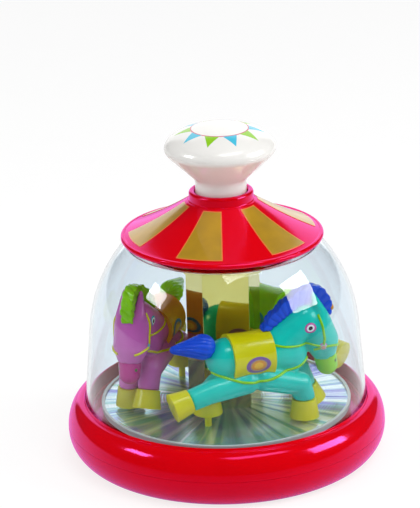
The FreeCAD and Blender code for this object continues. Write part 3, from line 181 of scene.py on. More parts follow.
def studio_world():
    """A dim room with a lit backdrop. The eye sees plain white past the toy and through its dome."""
    world = bpy.data.worlds.new("white_studio")
    world.use_nodes = True
    tree = world.node_tree
    tree.nodes.clear()
    ray = add(tree, "LightPath").outputs
    way = add(tree, "TexCoord").outputs["Generated"]
    x, y, z = add(tree, "SeparateXYZ", {}, (way,)).outputs
    aside = add(tree, "Math", "ABSOLUTE", (x,))
    behind = add(tree, "Math", "MAXIMUM", (y, JUST_BEHIND))
    slant = add(tree, "Math", "DIVIDE", (aside, behind))
    edge = math.tan(math.radians(BACKDROP_DEG))
    wide = add(tree, "MapRange", SMOOTH, (slant, edge + EDGE_SOFT, edge - EDGE_SOFT))
    low = add(tree, "MapRange", SMOOTH, (z, BACKDROP_TOP + EDGE_SOFT, BACKDROP_TOP - EDGE_SOFT))
    backdrop = add(tree, "Math", "MULTIPLY", (wide, low))
    in_gloss = add(tree, "Math", "MULTIPLY_ADD", (backdrop, BACKDROP_GLOSS - ROOM_GLOSS, ROOM_GLOSS))
    unmirrored = add(tree, "Math", "LESS_THAN", (ray["Glossy Depth"], 0.5))
    seen_through = add(tree, "Math", "MULTIPLY", (ray["Is Transmission Ray"], unmirrored))
    white = add(tree, "Math", "MAXIMUM", (ray["Is Camera Ray"], seen_through))
    light = add(tree, "Mix", {"data_type": "FLOAT"},
                {0: ray["Is Glossy Ray"], 2: ROOM_LIGHT, 3: in_gloss})
    strength = add(tree, "Mix", {"data_type": "FLOAT"}, {0: white, 2: light, 3: 1.0})
    sky = add(tree, "Background", {}, {"Color": colour("#FFFFFF"), "Strength": strength})
    add(tree, "OutputWorld", {}, {"Surface": sky})
    return world


scene.world = studio_world()
TOY_MIDDLE = Vector((0, 0, 0.08))


def softbox(name, distance, watts, from_front_deg, height_deg, width, height, roll_deg=0.0,
            gloss_only=False, through_dome=False):
    """A rectangular studio lamp in a direction seen from the toy, turned to the toy's middle.

    A gloss-only lamp is a bright window pane for the highlights and lights nothing. Only a lamp
    that is meant to be seen through the dome shines in what is under it.
    """
    turn, lift = math.radians(from_front_deg), math.radians(height_deg)
    way = Vector((math.sin(turn) * math.cos(lift), -math.cos(turn) * math.cos(lift), math.sin(lift)))
    lamp = bpy.data.lights.new(name, "AREA")
    lamp.shape = "RECTANGLE"
    lamp.size = width
    lamp.size_y = height
    lamp.energy = watts
    holder = bpy.data.objects.new(name, lamp)
    scene.collection.objects.link(holder)
    facing = (-way).to_track_quat("-Z", "Y").to_matrix().to_4x4()
    roll = Matrix.Rotation(math.radians(roll_deg), 4, "Z")
    holder.matrix_world = Matrix.Translation(TOY_MIDDLE + distance * way) @ facing @ roll
    holder.visible_diffuse = not gloss_only
    holder.visible_transmission = through_dome


right_window = {"from_front_deg": 82.0, "height_deg": 27.5, "width": 0.76, "height": 0.58, "roll_deg": -14.0}
left_window = {"from_front_deg": -73.0, "height_deg": 32.0, "width": 0.46, "height": 0.30}
softbox("right_window", distance=1.5, watts=8.0, **right_window)
softbox("right_window_glare", distance=1.52, watts=22.0, gloss_only=True, **right_window)
softbox("left_window", distance=1.5, watts=4.0, **left_window)
softbox("left_window_glare", distance=1.52, watts=8.0, gloss_only=True, **left_window)
softbox("ceiling_softbox", distance=1.6, watts=8.0, from_front_deg=35.0, height_deg=66.0,
        width=0.9, height=0.35, through_dome=True)


# Shared making of the moulded pieces: turned shells drawn from a half outline, and the
# gloss of injection-moulded plastic, with its slight flow marks and orange peel.
TURN_STEPS = 192
FLOW_MM, RUB_MM = 26.3, 6.25
PEEL_MM = 2.38           # drawn coarser than real orange peel, which is too fine to show
RGBA = {"data_type": "RGBA"}


def arc_points(centre, half_r, half_z, first_deg, last_deg, count):
    """Points of an elliptical arc in an outline, in millimetres."""
    points = []
    for i in range(count + 1):
        angle = math.radians(first_deg + (last_deg - first_deg) * i / count)
        points.append((centre[0] + half_r * math.cos(angle), centre[1] + half_z * math.sin(angle)))
    return points


def rounded(outline, radius, sharpest_deg=12.0, steps=4):
    """The closed outline with its corners rounded to a radius, as a mould leaves them."""
    result = []
    count = len(outline)
    for i in range(count):
        before, here, after = (Vector(outline[(i + k) % count]) for k in (-1, 0, 1))
        back, on = before - here, after - here
        turn = math.pi - back.angle(on)
        if turn < math.radians(sharpest_deg) or here.x < 1e-6:
            result.append(tuple(here))
            continue
        cut = min(radius * math.tan(turn / 2.0), 0.45 * back.length, 0.45 * on.length)
        start, end = here + back.normalized() * cut, here + on.normalized() * cut
        for k in range(steps + 1):
            share = k / steps
            point = start * (1 - share) ** 2 + here * (2 * share * (1 - share)) + end * share ** 2
            result.append(tuple(point))
    return result


def finished_mesh(name, builder, material, sharp_deg=35.0):
    """A smooth-shaded object from a bmesh, with its sharp edges kept."""
    mesh = bpy.data.meshes.new(name)
    builder.to_mesh(mesh)
    builder.free()
    mesh.shade_smooth()
    mesh.set_sharp_from_angle(angle=math.radians(sharp_deg))
    mesh.materials.append(material)
    piece = bpy.data.objects.new(name, mesh)
    scene.collection.objects.link(piece)
    return piece


def turned_shell(name, outline, material, radius=0.3, extra=()):
    """A closed outline in millimetres turned about the axis, with other meshes joined on."""
    points = rounded(outline, radius)
    builder = bmesh.new()
    rings = []
    for r, z in points:
        if r < 1e-6:
            rings.append([builder.verts.new((0, 0, z * MM))])
            continue
        rings.append([builder.verts.new((r * MM * math.sin(a), -r * MM * math.cos(a), z * MM))
                      for a in (2 * math.pi * k / TURN_STEPS for k in range(TURN_STEPS))])
    for low, high in zip(rings, rings[1:] + rings[:1]):
        if len(low) == 1 and len(high) == 1:
            continue
        for k in range(TURN_STEPS):
            m = (k + 1) % TURN_STEPS
            corners = [low[k % len(low)], low[m % len(low)], high[m % len(high)], high[k % len(high)]]
            builder.faces.new(list(dict.fromkeys(corners)))
    for mesh in extra:
        builder.from_mesh(mesh)
    bmesh.ops.remove_doubles(builder, verts=builder.verts, dist=1e-7)
    bmesh.ops.recalc_face_normals(builder, faces=builder.faces)
    return finished_mesh(name, builder, material)


def settle(piece, body, nodes):
    """Gives a piece its body and hides the CAD nodes that it stands for."""
    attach(piece, body)
    if nodes:
        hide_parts(*nodes)


def dress(node, material):
    """Gives a CAD node its material."""
    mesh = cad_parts[node].data
    mesh.materials.clear()
    mesh.materials.append(material)


def patches(tree, place, size_mm, detail, tones, roughness):
    """Soft patches of a size, in which two close tones and the roughness change together."""
    noise = add(tree, "TexNoise", {}, {"Vector": place, "Scale": 1 / (size_mm * MM), "Detail": detail})
    tone = add(tree, "Mix", RGBA, {0: noise, 6: colour(tones[0]), 7: colour(tones[1])})
    rough = add(tree, "MapRange", {}, {0: noise, 3: roughness[0], 4: roughness[1]})
    return tone.outputs[2], rough


def uneven(tree, place, size_mm, detail, strength, depth_mm):
    """A soft unevenness of a size, which bends what the surface mirrors."""
    noise = add(tree, "TexNoise", {}, {"Vector": place, "Scale": 1 / (size_mm * MM), "Detail": detail})
    return add(tree, "Bump", {}, {"Strength": strength, "Distance": depth_mm * MM, "Height": noise})


def mould_marks(tree, place, smooth, rubbed, peel):
    """What a mould and use leave on a gloss: flow marks, rubbed patches and orange peel."""
    flow = add(tree, "TexNoise", {},
               {"Vector": place, "Scale": 1 / (FLOW_MM * MM), "Detail": 4.0, "Distortion": 1.2})
    rub = add(tree, "TexNoise", {},
              {"Vector": place, "Scale": 1 / (RUB_MM * MM), "Detail": 5.0, "Roughness": 0.7})
    rough = add(tree, "MapRange", {}, {0: rub, 3: smooth, 4: rubbed})
    return flow, rough, uneven(tree, place, PEEL_MM, 2.0, peel, 0.4)


def moulded_plastic(name, main, shade, roughness, peel=0.04, see_in=0.0, gloss=0.5):
    """Moulded thermoplastic: two close tones in the flow of the melt, under an even gloss."""
    material, tree, place = new_material(name)
    flow, rough, bump = mould_marks(tree, place, roughness * 0.8, roughness * 1.25, peel)
    streak = add(tree, "MapRange", SMOOTH, (flow, 0.3, 0.7))
    tones = add(tree, "Mix", RGBA, {0: streak, 6: colour(main), 7: colour(shade)})
    shader = add(tree, "BsdfPrincipled", {},
                 {"Base Color": tones.outputs[2], "Roughness": rough, "IOR": 1.52, "Normal": bump,
                  "Specular IOR Level": gloss, "Subsurface Weight": see_in,
                  "Subsurface Radius": (4 * MM, 4 * MM, 4 * MM), "Subsurface Scale": 1.0})
    return surfaced(material, tree, shader)


# Base. Two shells of glossy red ABS, moulded and screwed together, meet at a seam near the
# widest line. The upper one carries the rolled rim, the groove of the dome and the deck.
CREST_R, CREST_W, WIDEST_Z, CREST_RISE = 85.0, 10.0, 16.0, 17.0
SEAM_Z, LIP_Z, DECK_Z, DECK_T = 17.8, 34.6, 23.0, 2.2
GROOVE_R, GROOVE_LEAD, RIB_R, RIB_W, RIB_H = 84.05, 0.5, 81.75, 1.3, 3.5
AXLE_BOSS_R, AXLE_BOSS_TOP_Z, AXLE_BOSS_FOOT_Z = 8.0, 25.3, 4.7
AXLE_BORE_R, AXLE_BORE_FOOT_Z = 2.5, 7.0
BASE_WALL = 2.4


def gloss_red_abs():
    """Deep red ABS, wet looking. Its pigment turns what it mirrors pink, most at a slant."""
    material, tree, place = new_material("gloss_moulded_red_abs")
    flow, rough, bump = mould_marks(tree, place, 0.08, 0.14, 0.05)
    tones = add(tree, "Mix", RGBA, {0: flow, 6: colour("#DC0206"), 7: colour("#D20104")})
    body = add(tree, "BsdfPrincipled", {},
               {"Base Color": tones.outputs[2], "Roughness": rough, "Specular IOR Level": 0.0,
                "Normal": bump})
    slant = add(tree, "LayerWeight", {}, {"Blend": 0.5}).outputs["Facing"]
    mirrored = add(tree, "Mix", RGBA, {0: slant, 6: colour("#FF5CD0"), 7: colour("#FF9CF2")})
    gloss = add(tree, "BsdfAnisotropic", {},
                {"Color": mirrored.outputs[2], "Roughness": rough, "Normal": bump})
    grazing = add(tree, "Math", "POWER", (slant, 3.0))
    share = add(tree, "Math", "MULTIPLY_ADD", (grazing, 0.95, 0.04))
    both = add(tree, "MixShader", {}, (share, body, gloss))
    return surfaced(material, tree, both)


red_abs = gloss_red_abs()
seam_deg = math.degrees(math.asin((SEAM_Z - WIDEST_Z) / CREST_RISE))
skirt_deg = math.degrees(math.acos((GROOVE_R + BASE_WALL - CREST_R) / (CREST_W - BASE_WALL)))
inner_seam_deg = math.degrees(math.asin((SEAM_Z - WIDEST_Z) / (CREST_RISE - BASE_WALL)))
rim = arc_points((CREST_R, WIDEST_Z), CREST_W, CREST_RISE, seam_deg, 90.0, 28)
rim_inside = arc_points((CREST_R, WIDEST_Z), CREST_W - BASE_WALL, CREST_RISE - BASE_WALL,
                        skirt_deg, inner_seam_deg, 12)
base_outline = rim + [
    (GROOVE_R + GROOVE_LEAD, LIP_Z), (GROOVE_R, LIP_Z - GROOVE_LEAD), (GROOVE_R, DECK_Z),
    (RIB_R, DECK_Z), (RIB_R, DECK_Z + RIB_H), (RIB_R - RIB_W, DECK_Z + RIB_H), (RIB_R - RIB_W, DECK_Z),
    (AXLE_BOSS_R, DECK_Z), (AXLE_BOSS_R, AXLE_BOSS_TOP_Z), (AXLE_BORE_R, AXLE_BOSS_TOP_Z),
    (AXLE_BORE_R, AXLE_BORE_FOOT_Z), (AXLE_BOSS_R - 1.0, AXLE_BOSS_FOOT_Z),
    (AXLE_BOSS_R, DECK_Z - DECK_T), (GROOVE_R + BASE_WALL, DECK_Z - DECK_T)] + rim_inside
base_top = turned_shell("base_upper_shell", base_outline, red_abs, radius=0.35)
settle(base_top, "housing", ["base_top"])
dress("base_bottom", red_abs)


# Dome. Clear polystyrene, injection moulded 2 mm thick and polished: a tapered wall, a round
# shoulder and a flat crown under the roof. It stands in the groove of the base, and a low
# bead on the crown closes the gap under the brim.
DOME_R, DOME_WALL, DOME_DRAFT_DEG = 83.9, 2.0, 5.3
SHOULDER_Z, SHOULDER_R, CROWN_Z, CROWN_CORNER_R = 79.2, 85.5, 130.5, 5.0
DOME_HOLE_R, BEAD_TOP_Z, BEAD_W = 17.65, 132.0, 1.2
DOME_WAVE_MM, DOME_HAZE_MM = 33.3, 8.33
DOME_IOR = 1.34          # below the real 1.59, for a gloss as faint as in the photograph


def dome_side(inset, bead_top_z=None):
    """The dome's side from foot to crown. The outer one ends in a bead under the brim."""
    draft = math.radians(DOME_DRAFT_DEG)
    shoulder_r = DOME_R - math.tan(draft) * (SHOULDER_Z - LIP_Z)
    centre_r = shoulder_r - SHOULDER_R * math.cos(draft)
    centre_z = SHOULDER_Z - SHOULDER_R * math.sin(draft)
    big_r, corner_r = SHOULDER_R - inset, CROWN_CORNER_R - inset
    rise = CROWN_Z - inset - corner_r - centre_z
    corner = centre_r + math.sqrt((big_r - corner_r) ** 2 - rise ** 2)
    tilt = math.degrees(math.atan2(rise, corner - centre_r))
    foot_r = DOME_R - inset
    share = [k / 8 for k in range(8)]
    wall = [(foot_r + (shoulder_r - DOME_R) * s, LIP_Z + (SHOULDER_Z - LIP_Z) * s) for s in share]
    if bead_top_z:
        tilt = math.degrees(math.asin((bead_top_z - centre_z) / big_r))
    shoulder = arc_points((centre_r, centre_z), big_r, big_r, DOME_DRAFT_DEG, tilt, 40)
    if bead_top_z:
        inner_r = shoulder[-1][0] - BEAD_W
        return [(foot_r, DECK_Z)] + wall + shoulder + [(inner_r, bead_top_z), (inner_r, CROWN_Z)]
    top = arc_points((corner, centre_z + rise), corner_r, corner_r, tilt, 90.0, 8)
    return [(foot_r, DECK_Z)] + wall + shoulder + top[1:]


def lit_through(tree, wall, tint):
    """Lets light fall through a clear wall as through a tinted pane. The eye sees the wall."""
    ray = add(tree, "LightPath").outputs
    pane = add(tree, "BsdfTransparent", {}, {"Color": colour(tint)})
    lighting = add(tree, "Math", "MAXIMUM", (ray["Is Shadow Ray"], ray["Is Diffuse Ray"]))
    return add(tree, "MixShader", {}, (lighting, wall, pane))


def clear_polystyrene():
    """Polished clear polystyrene: sharp to see through, a hint of blue, slow waves in its gloss."""
    material, tree, place = new_material("clear_moulded_polystyrene")
    tone, rough = patches(tree, place, DOME_HAZE_MM, 4.0, ("#ECF4FA", "#F1F8FC"), (0.0, 0.02))
    wall = add(tree, "BsdfPrincipled", {},
               {"Base Color": tone, "Roughness": rough, "IOR": DOME_IOR, "Transmission Weight": 1.0,
                "Normal": uneven(tree, place, DOME_WAVE_MM, 1.0, 0.03, 0.6)})
    return surfaced(material, tree, lit_through(tree, wall, "#F4FAFA"))


dome_outline = (dome_side(0.0, BEAD_TOP_Z) + [(DOME_HOLE_R, CROWN_Z), (DOME_HOLE_R, CROWN_Z - DOME_WALL)]
                + dome_side(DOME_WALL)[::-1])
dome = turned_shell("clear_dome", dome_outline, clear_polystyrene(), radius=0.15)
settle(dome, "housing", ["dome"])


# Roof. A red ABS cone with a rolled brim and a collar round the knob's guide tube, fastened
# from inside the dome with four screws. It sags a little between collar and brim.
BRIM_R, BRIM_Z, BRIM_UNDER_R, BRIM_UNDER_Z = 59.3, 133.4, 57.6, 132.3
BRIM_TOP_R, BRIM_TOP_Z, ROOF_WALL = 57.0, 135.3, 2.2
ROOF_TOP_R, ROOF_TOP_Z, ROOF_SAG = 20.0, 155.1, 1.27
COLLAR_R, COLLAR_TOP_Z, COLLAR_FILLET_R, GUIDE_R, GUIDE_WALL = 18.9, 161.3, 1.1, 15.3, 2.2
GUIDE_BOTTOM_Z, SPRING_SEAT_Z, ROD_HOLE_R = 128.65, 130.6, 4.5
RING_R, RING_W, ROOF_POST_R, ROOF_SCREW_R = 46.0, 2.0, 3.4, 34.0


def circle_through(a, b, c):
    """Centre and radius of the circle through three points of an outline."""
    d = 2.0 * (a[0] * (b[1] - c[1]) + b[0] * (c[1] - a[1]) + c[0] * (a[1] - b[1]))
    sq = [p[0] ** 2 + p[1] ** 2 for p in (a, b, c)]
    x = (sq[0] * (b[1] - c[1]) + sq[1] * (c[1] - a[1]) + sq[2] * (a[1] - b[1])) / d
    y = (sq[0] * (c[0] - b[0]) + sq[1] * (a[0] - c[0]) + sq[2] * (b[0] - a[0])) / d
    return (x, y), math.hypot(a[0] - x, a[1] - y)


ROOF_MIDDLE = ((ROOF_TOP_R + BRIM_TOP_R) / 2.0, (ROOF_TOP_Z + BRIM_TOP_Z) / 2.0 - ROOF_SAG)
ROOF_CENTRE, ROOF_ARC_R = circle_through((ROOF_TOP_R, ROOF_TOP_Z), ROOF_MIDDLE, (BRIM_TOP_R, BRIM_TOP_Z))


def roof_z(r, raised=0.0):
    """Height of the roof's outer face at a radius, raised square to the face."""
    return ROOF_CENTRE[1] - math.sqrt((ROOF_ARC_R - raised) ** 2 - (r - ROOF_CENTRE[0]) ** 2)


def arc_by_three(a, b, c, count):
    """Points of the arc from a to c by way of b."""
    centre, radius = circle_through(a, b, c)
    angles = [math.atan2(p[1] - centre[1], p[0] - centre[0]) for p in (a, b, c)]
    turn = (angles[2] - angles[0]) % (2 * math.pi)
    if (angles[1] - angles[0]) % (2 * math.pi) > turn:
        turn -= 2 * math.pi
    first, last = math.degrees(angles[0]), math.degrees(angles[0] + turn)
    return arc_points(centre, radius, radius, first, last, count)


def post_mesh(radius, low_z, high_z, at):
    """A short round post, in millimetres, as a mesh to join on."""
    builder = bmesh.new()
    middle = Matrix.Translation(Vector((at[0], at[1], (low_z + high_z) / 2)) * MM)
    bmesh.ops.create_cone(builder, cap_ends=True, segments=32, radius1=radius * MM,
                          radius2=radius * MM, depth=(high_z - low_z) * MM, matrix=middle)
    mesh = bpy.data.meshes.new("post")
    builder.to_mesh(mesh)
    builder.free()
    return mesh


lip_mid_r = (GUIDE_R + COLLAR_R) / 2.0
lip_r = COLLAR_R - lip_mid_r
tube_r = GUIDE_R + GUIDE_WALL
under_r = BRIM_TOP_R - ROOF_WALL
under_arc = [(r, roof_z(r, -ROOF_WALL)) for r in (under_r + (tube_r - under_r) * k / 16 for k in range(17))]
roof_outline = (
    arc_points((lip_mid_r, COLLAR_TOP_Z - lip_r), lip_r, lip_r, 180.0, 0.0, 16)
    + [(COLLAR_R, ROOF_TOP_Z + COLLAR_FILLET_R)]
    + arc_points((ROOF_TOP_R, ROOF_TOP_Z + COLLAR_FILLET_R), COLLAR_FILLET_R, COLLAR_FILLET_R,
                 180.0, 270.0, 6)[1:]
    + arc_by_three((ROOF_TOP_R, ROOF_TOP_Z), ROOF_MIDDLE, (BRIM_TOP_R, BRIM_TOP_Z), 24)[1:]
    + arc_by_three((BRIM_TOP_R, BRIM_TOP_Z), (BRIM_R, BRIM_Z), (BRIM_UNDER_R, BRIM_UNDER_Z), 10)[1:]
    + [(under_r, BRIM_UNDER_Z)] + under_arc
    + [(tube_r, GUIDE_BOTTOM_Z), (ROD_HOLE_R, GUIDE_BOTTOM_Z), (ROD_HOLE_R, SPRING_SEAT_Z),
       (GUIDE_R, SPRING_SEAT_Z)])
post_top_z = roof_z(ROOF_SCREW_R + ROOF_POST_R, -ROOF_WALL / 2)
posts = []
for k in range(4):
    turn = math.radians(45 + 90 * k)
    at = (ROOF_SCREW_R * math.sin(turn), ROOF_SCREW_R * math.cos(turn))
    posts.append(post_mesh(ROOF_POST_R, CROWN_Z, post_top_z, at))
roof_cone = turned_shell("roof_cone_and_collar", roof_outline, red_abs, radius=0.3, extra=posts)
ring_outline = [(RING_R - RING_W, CROWN_Z), (RING_R, CROWN_Z), (RING_R, roof_z(RING_R, -ROOF_WALL / 2)),
                (RING_R - RING_W, roof_z(RING_R - RING_W, -ROOF_WALL / 2))]
roof_ring = turned_shell("roof_ring_on_dome", ring_outline, red_abs, radius=0.2)
settle(roof_cone, "housing", ["roof_cone"])
settle(roof_ring, "housing", [])


# Roof stripes. Six panels of gold foil, stamped hot on to the cone, each with a fine orange
# edge where the foil ends. They follow the sag of the cone from collar to brim.
STRIPE_COUNT, STRIPE_DEG, STRIPE_FIRST_DEG = 6, 29.0, -14.5
STRIPE_TOP_R, STRIPE_BRIM_R, STRIPE_T = 21.2, 54.6, 0.25
STRIPE_EDGE_MM = (0.45, 0.62)                  # between these the orange edge turns to gold
STRIPE_CLOUD_MM = 11.1


def hot_stamped_foil():
    """Hot-stamped gold foil: satin gold under a clear coat, and an orange line where it ends."""
    material, tree, place = new_material("hot_stamped_gold_foil")
    edge = add(tree, "Attribute", {"attribute_name": "from_edge"}).outputs["Fac"]
    cloud = add(tree, "TexNoise", {},
                {"Vector": place, "Scale": 1 / (STRIPE_CLOUD_MM * MM), "Detail": 2.0})
    drift = add(tree, "MapRange", SMOOTH, (cloud, 0.25, 0.75))
    gold = add(tree, "Mix", RGBA, {0: drift, 6: colour("#BE930A"), 7: colour("#B0880C")})
    inside = add(tree, "MapRange", SMOOTH, (edge, *STRIPE_EDGE_MM))
    tone = add(tree, "Mix", RGBA, {0: inside, 6: colour("#E27832"), 7: gold.outputs[2]})
    rough = add(tree, "MapRange", {}, {0: cloud, 3: 0.30, 4: 0.38})
    metal = add(tree, "Math", "MULTIPLY", (inside, 0.25))
    shader = add(tree, "BsdfPrincipled", {},
                 {"Base Color": tone.outputs[2], "Metallic": metal, "Roughness": rough,
                  "Coat Weight": 0.6, "Coat Roughness": 0.04, "Coat IOR": 1.55})
    return surfaced(material, tree, shader)


def new_shape_tree(name, sizes):
    """An empty Geometry Nodes tree, its named sizes as sockets, and its output node."""
    tree = bpy.data.node_groups.new(name, "GeometryNodeTree")
    tree.interface.new_socket("Geometry", in_out="INPUT", socket_type="NodeSocketGeometry")
    for size_name, value in sizes.items():
        kind = "NodeSocketInt" if isinstance(value, int) else "NodeSocketFloat"
        tree.interface.new_socket(size_name, in_out="INPUT", socket_type=kind)
    tree.interface.new_socket("Geometry", in_out="OUTPUT", socket_type="NodeSocketGeometry")
    return tree, add(tree, "NodeGroupInput").outputs, add(tree, "NodeGroupOutput")


def plain(piece):
    """Turns what a piece's modifiers make into its plain mesh."""
    graph = bpy.context.evaluated_depsgraph_get()
    mesh = bpy.data.meshes.new_from_object(piece.evaluated_get(graph))
    piece.modifiers.clear()
    piece.data = mesh
    return piece


def shaped_by(tree, name, sizes):
    """The plain mesh that a Geometry Nodes tree makes with these sizes, as an object."""
    piece = bpy.data.objects.new(name, bpy.data.meshes.new(name))
    scene.collection.objects.link(piece)
    modifier = piece.modifiers.new("shape", "NODES")
    modifier.node_group = tree
    sockets = {item.name: item.identifier for item in tree.interface.items_tree
               if item.item_type == "SOCKET" and item.in_out == "INPUT"}
    for size_name, value in sizes.items():
        modifier[sockets[size_name]] = value
    return plain(piece)


def stripe_tree(sizes, material):
    """A square grid bent into a panel of the cone, thickened, and repeated round the axis."""
    tree, given, result = new_shape_tree("roof_stripe_fan", sizes)
    grid = add(tree, "GeometryNodeMeshGrid", {},
               {"Size X": 1.0, "Size Y": 1.0, "Vertices X": 33, "Vertices Y": 25})
    spot = add(tree, "SeparateXYZ", {}, (add(tree, "GeometryNodeInputPosition"),)).outputs
    along = add(tree, "Math", "ADD", (spot[0], 0.5))
    span = add(tree, "Math", "SUBTRACT", (given["Brim radius"], given["Top radius"]))
    r = add(tree, "Math", "MULTIPLY_ADD", (along, span, given["Top radius"]))

    # where the panel lies on the arc of the roof
    reach = add(tree, "Math", "SUBTRACT", (r, given["Arc centre radius"]))
    reach_square = add(tree, "Math", "POWER", (reach, 2.0))
    arc_square = add(tree, "Math", "POWER", (given["Arc radius"], 2.0))
    drop_square = add(tree, "Math", "SUBTRACT", (arc_square, reach_square))
    drop = add(tree, "Math", "SQRT", (drop_square,))
    z = add(tree, "Math", "SUBTRACT", (given["Arc centre height"], drop))
    angle = add(tree, "Math", "MULTIPLY", (given["Width"], spot[1]))
    sideways = add(tree, "Math", "SINE", (angle,))
    outward = add(tree, "Math", "COSINE", (angle,))
    x = add(tree, "Math", "MULTIPLY", (r, sideways))
    depth = add(tree, "Math", "MULTIPLY", (r, outward))
    y = add(tree, "Math", "MULTIPLY", (depth, -1.0))
    bent = add(tree, "CombineXYZ", {}, (x, y, z))

    # how far a place is from the panel's edge, in millimetres
    left = add(tree, "Math", "SUBTRACT", (1.0, along))
    end_share = add(tree, "Math", "MINIMUM", (along, left))
    end_gap = add(tree, "Math", "MULTIPLY", (span, end_share))
    off_middle = add(tree, "Math", "ABSOLUTE", (spot[1],))
    side_share = add(tree, "Math", "SUBTRACT", (0.5, off_middle))
    panel_width = add(tree, "Math", "MULTIPLY", (r, given["Width"]))
    side_gap = add(tree, "Math", "MULTIPLY", (panel_width, side_share))
    gap = add(tree, "Math", "MINIMUM", (end_gap, side_gap))
    gap_mm = add(tree, "Math", "DIVIDE", (gap, MM))

    marked = add(tree, "GeometryNodeStoreNamedAttribute", {"data_type": "FLOAT", "domain": "POINT"},
                 {"Geometry": grid, "Name": "from_edge", "Value": gap_mm})
    laid = add(tree, "GeometryNodeSetPosition", {}, {"Geometry": marked, "Position": bent})
    raised = add(tree, "GeometryNodeExtrudeMesh", {},
                 {"Mesh": laid, "Offset Scale": given["Thickness"], "Individual": False})
    under = add(tree, "GeometryNodeFlipFaces", {}, (laid,))
    closed = add(tree, "GeometryNodeJoinGeometry")
    tree.links.new(raised.outputs[0], closed.inputs[0])
    tree.links.new(under.outputs[0], closed.inputs[0])
    whole = add(tree, "GeometryNodeMergeByDistance", {}, {"Geometry": closed, "Distance": 1e-6})
    ring = add(tree, "GeometryNodeMeshLine", {}, {"Count": given["Count"], "Offset": (0, 0, 0)})
    index = add(tree, "GeometryNodeInputIndex")
    share = add(tree, "Math", "DIVIDE", (index, given["Count"]))
    turn = add(tree, "Math", "MULTIPLY_ADD", (share, 2 * math.pi, given["First angle"]))
    turned = add(tree, "CombineXYZ", {}, {2: turn})
    fan = add(tree, "GeometryNodeInstanceOnPoints", {},
              {"Points": ring, "Instance": whole, "Rotation": turned})
    real = add(tree, "GeometryNodeRealizeInstances", {}, (fan,))
    painted = add(tree, "GeometryNodeSetMaterial", {}, {"Geometry": real, "Material": material})
    tree.links.new(painted.outputs[0], result.inputs[0])
    return tree


stripe_sizes = {"Count": STRIPE_COUNT, "Width": math.radians(STRIPE_DEG),
                "First angle": math.radians(STRIPE_FIRST_DEG), "Top radius": STRIPE_TOP_R * MM,
                "Brim radius": STRIPE_BRIM_R * MM, "Arc centre radius": ROOF_CENTRE[0] * MM,
                "Arc centre height": ROOF_CENTRE[1] * MM, "Arc radius": ROOF_ARC_R * MM,
                "Thickness": STRIPE_T * MM}
stripes = shaped_by(stripe_tree(stripe_sizes, hot_stamped_foil()), "gold_roof_stripes", stripe_sizes)
settle(stripes, "housing", ["roof_stripes"])


# Knob. A white ABS funnel with the stem that slides in the guide tube, and a domed cap that
# snaps into its rim. A ring of small pennants is pad-printed on the cap.
KNOB_R, KNOB_SEAM_Z, CAP_H, KNOB_WALL = 32.4, 186.5, 13.5, 2.2
STEM_R, STEM_WALL, STEM_BOTTOM_Z, FUNNEL_START_Z = 15.0, 2.2, 137.0, 165.5
FUNNEL_FILLET_R, FUNNEL_EDGE_DROP, FUNNEL_EDGE_IN = 6.0, 3.0, 1.4
WEB_Z, WEB_T, ROD_BOSS_R, ROD_BOSS_H = 176.0, 2.4, 5.6, 13.0
TONGUE_H, TONGUE_T, TONGUE_GAP = 1.6, 1.25, 0.15
PENNANTS, PENNANT_STRING_R, PENNANT_TIP_R, PENNANT_HALF_W = 10, 17.0, 26.5, 4.3
PENNANT_FIRST_DEG, PENNANT_SIDE_SOFT, PENNANT_TOP_SOFT = -15.5, 0.08, 0.1
STRING_MID_R, STRING_HALF_W, STRING_CORE = 16.8, 0.5, 0.35
PRINT_LOW_Z, PRINT_WHOLE_Z = 187.5, 187.7
WHITE_FLOW_MM = 22.2


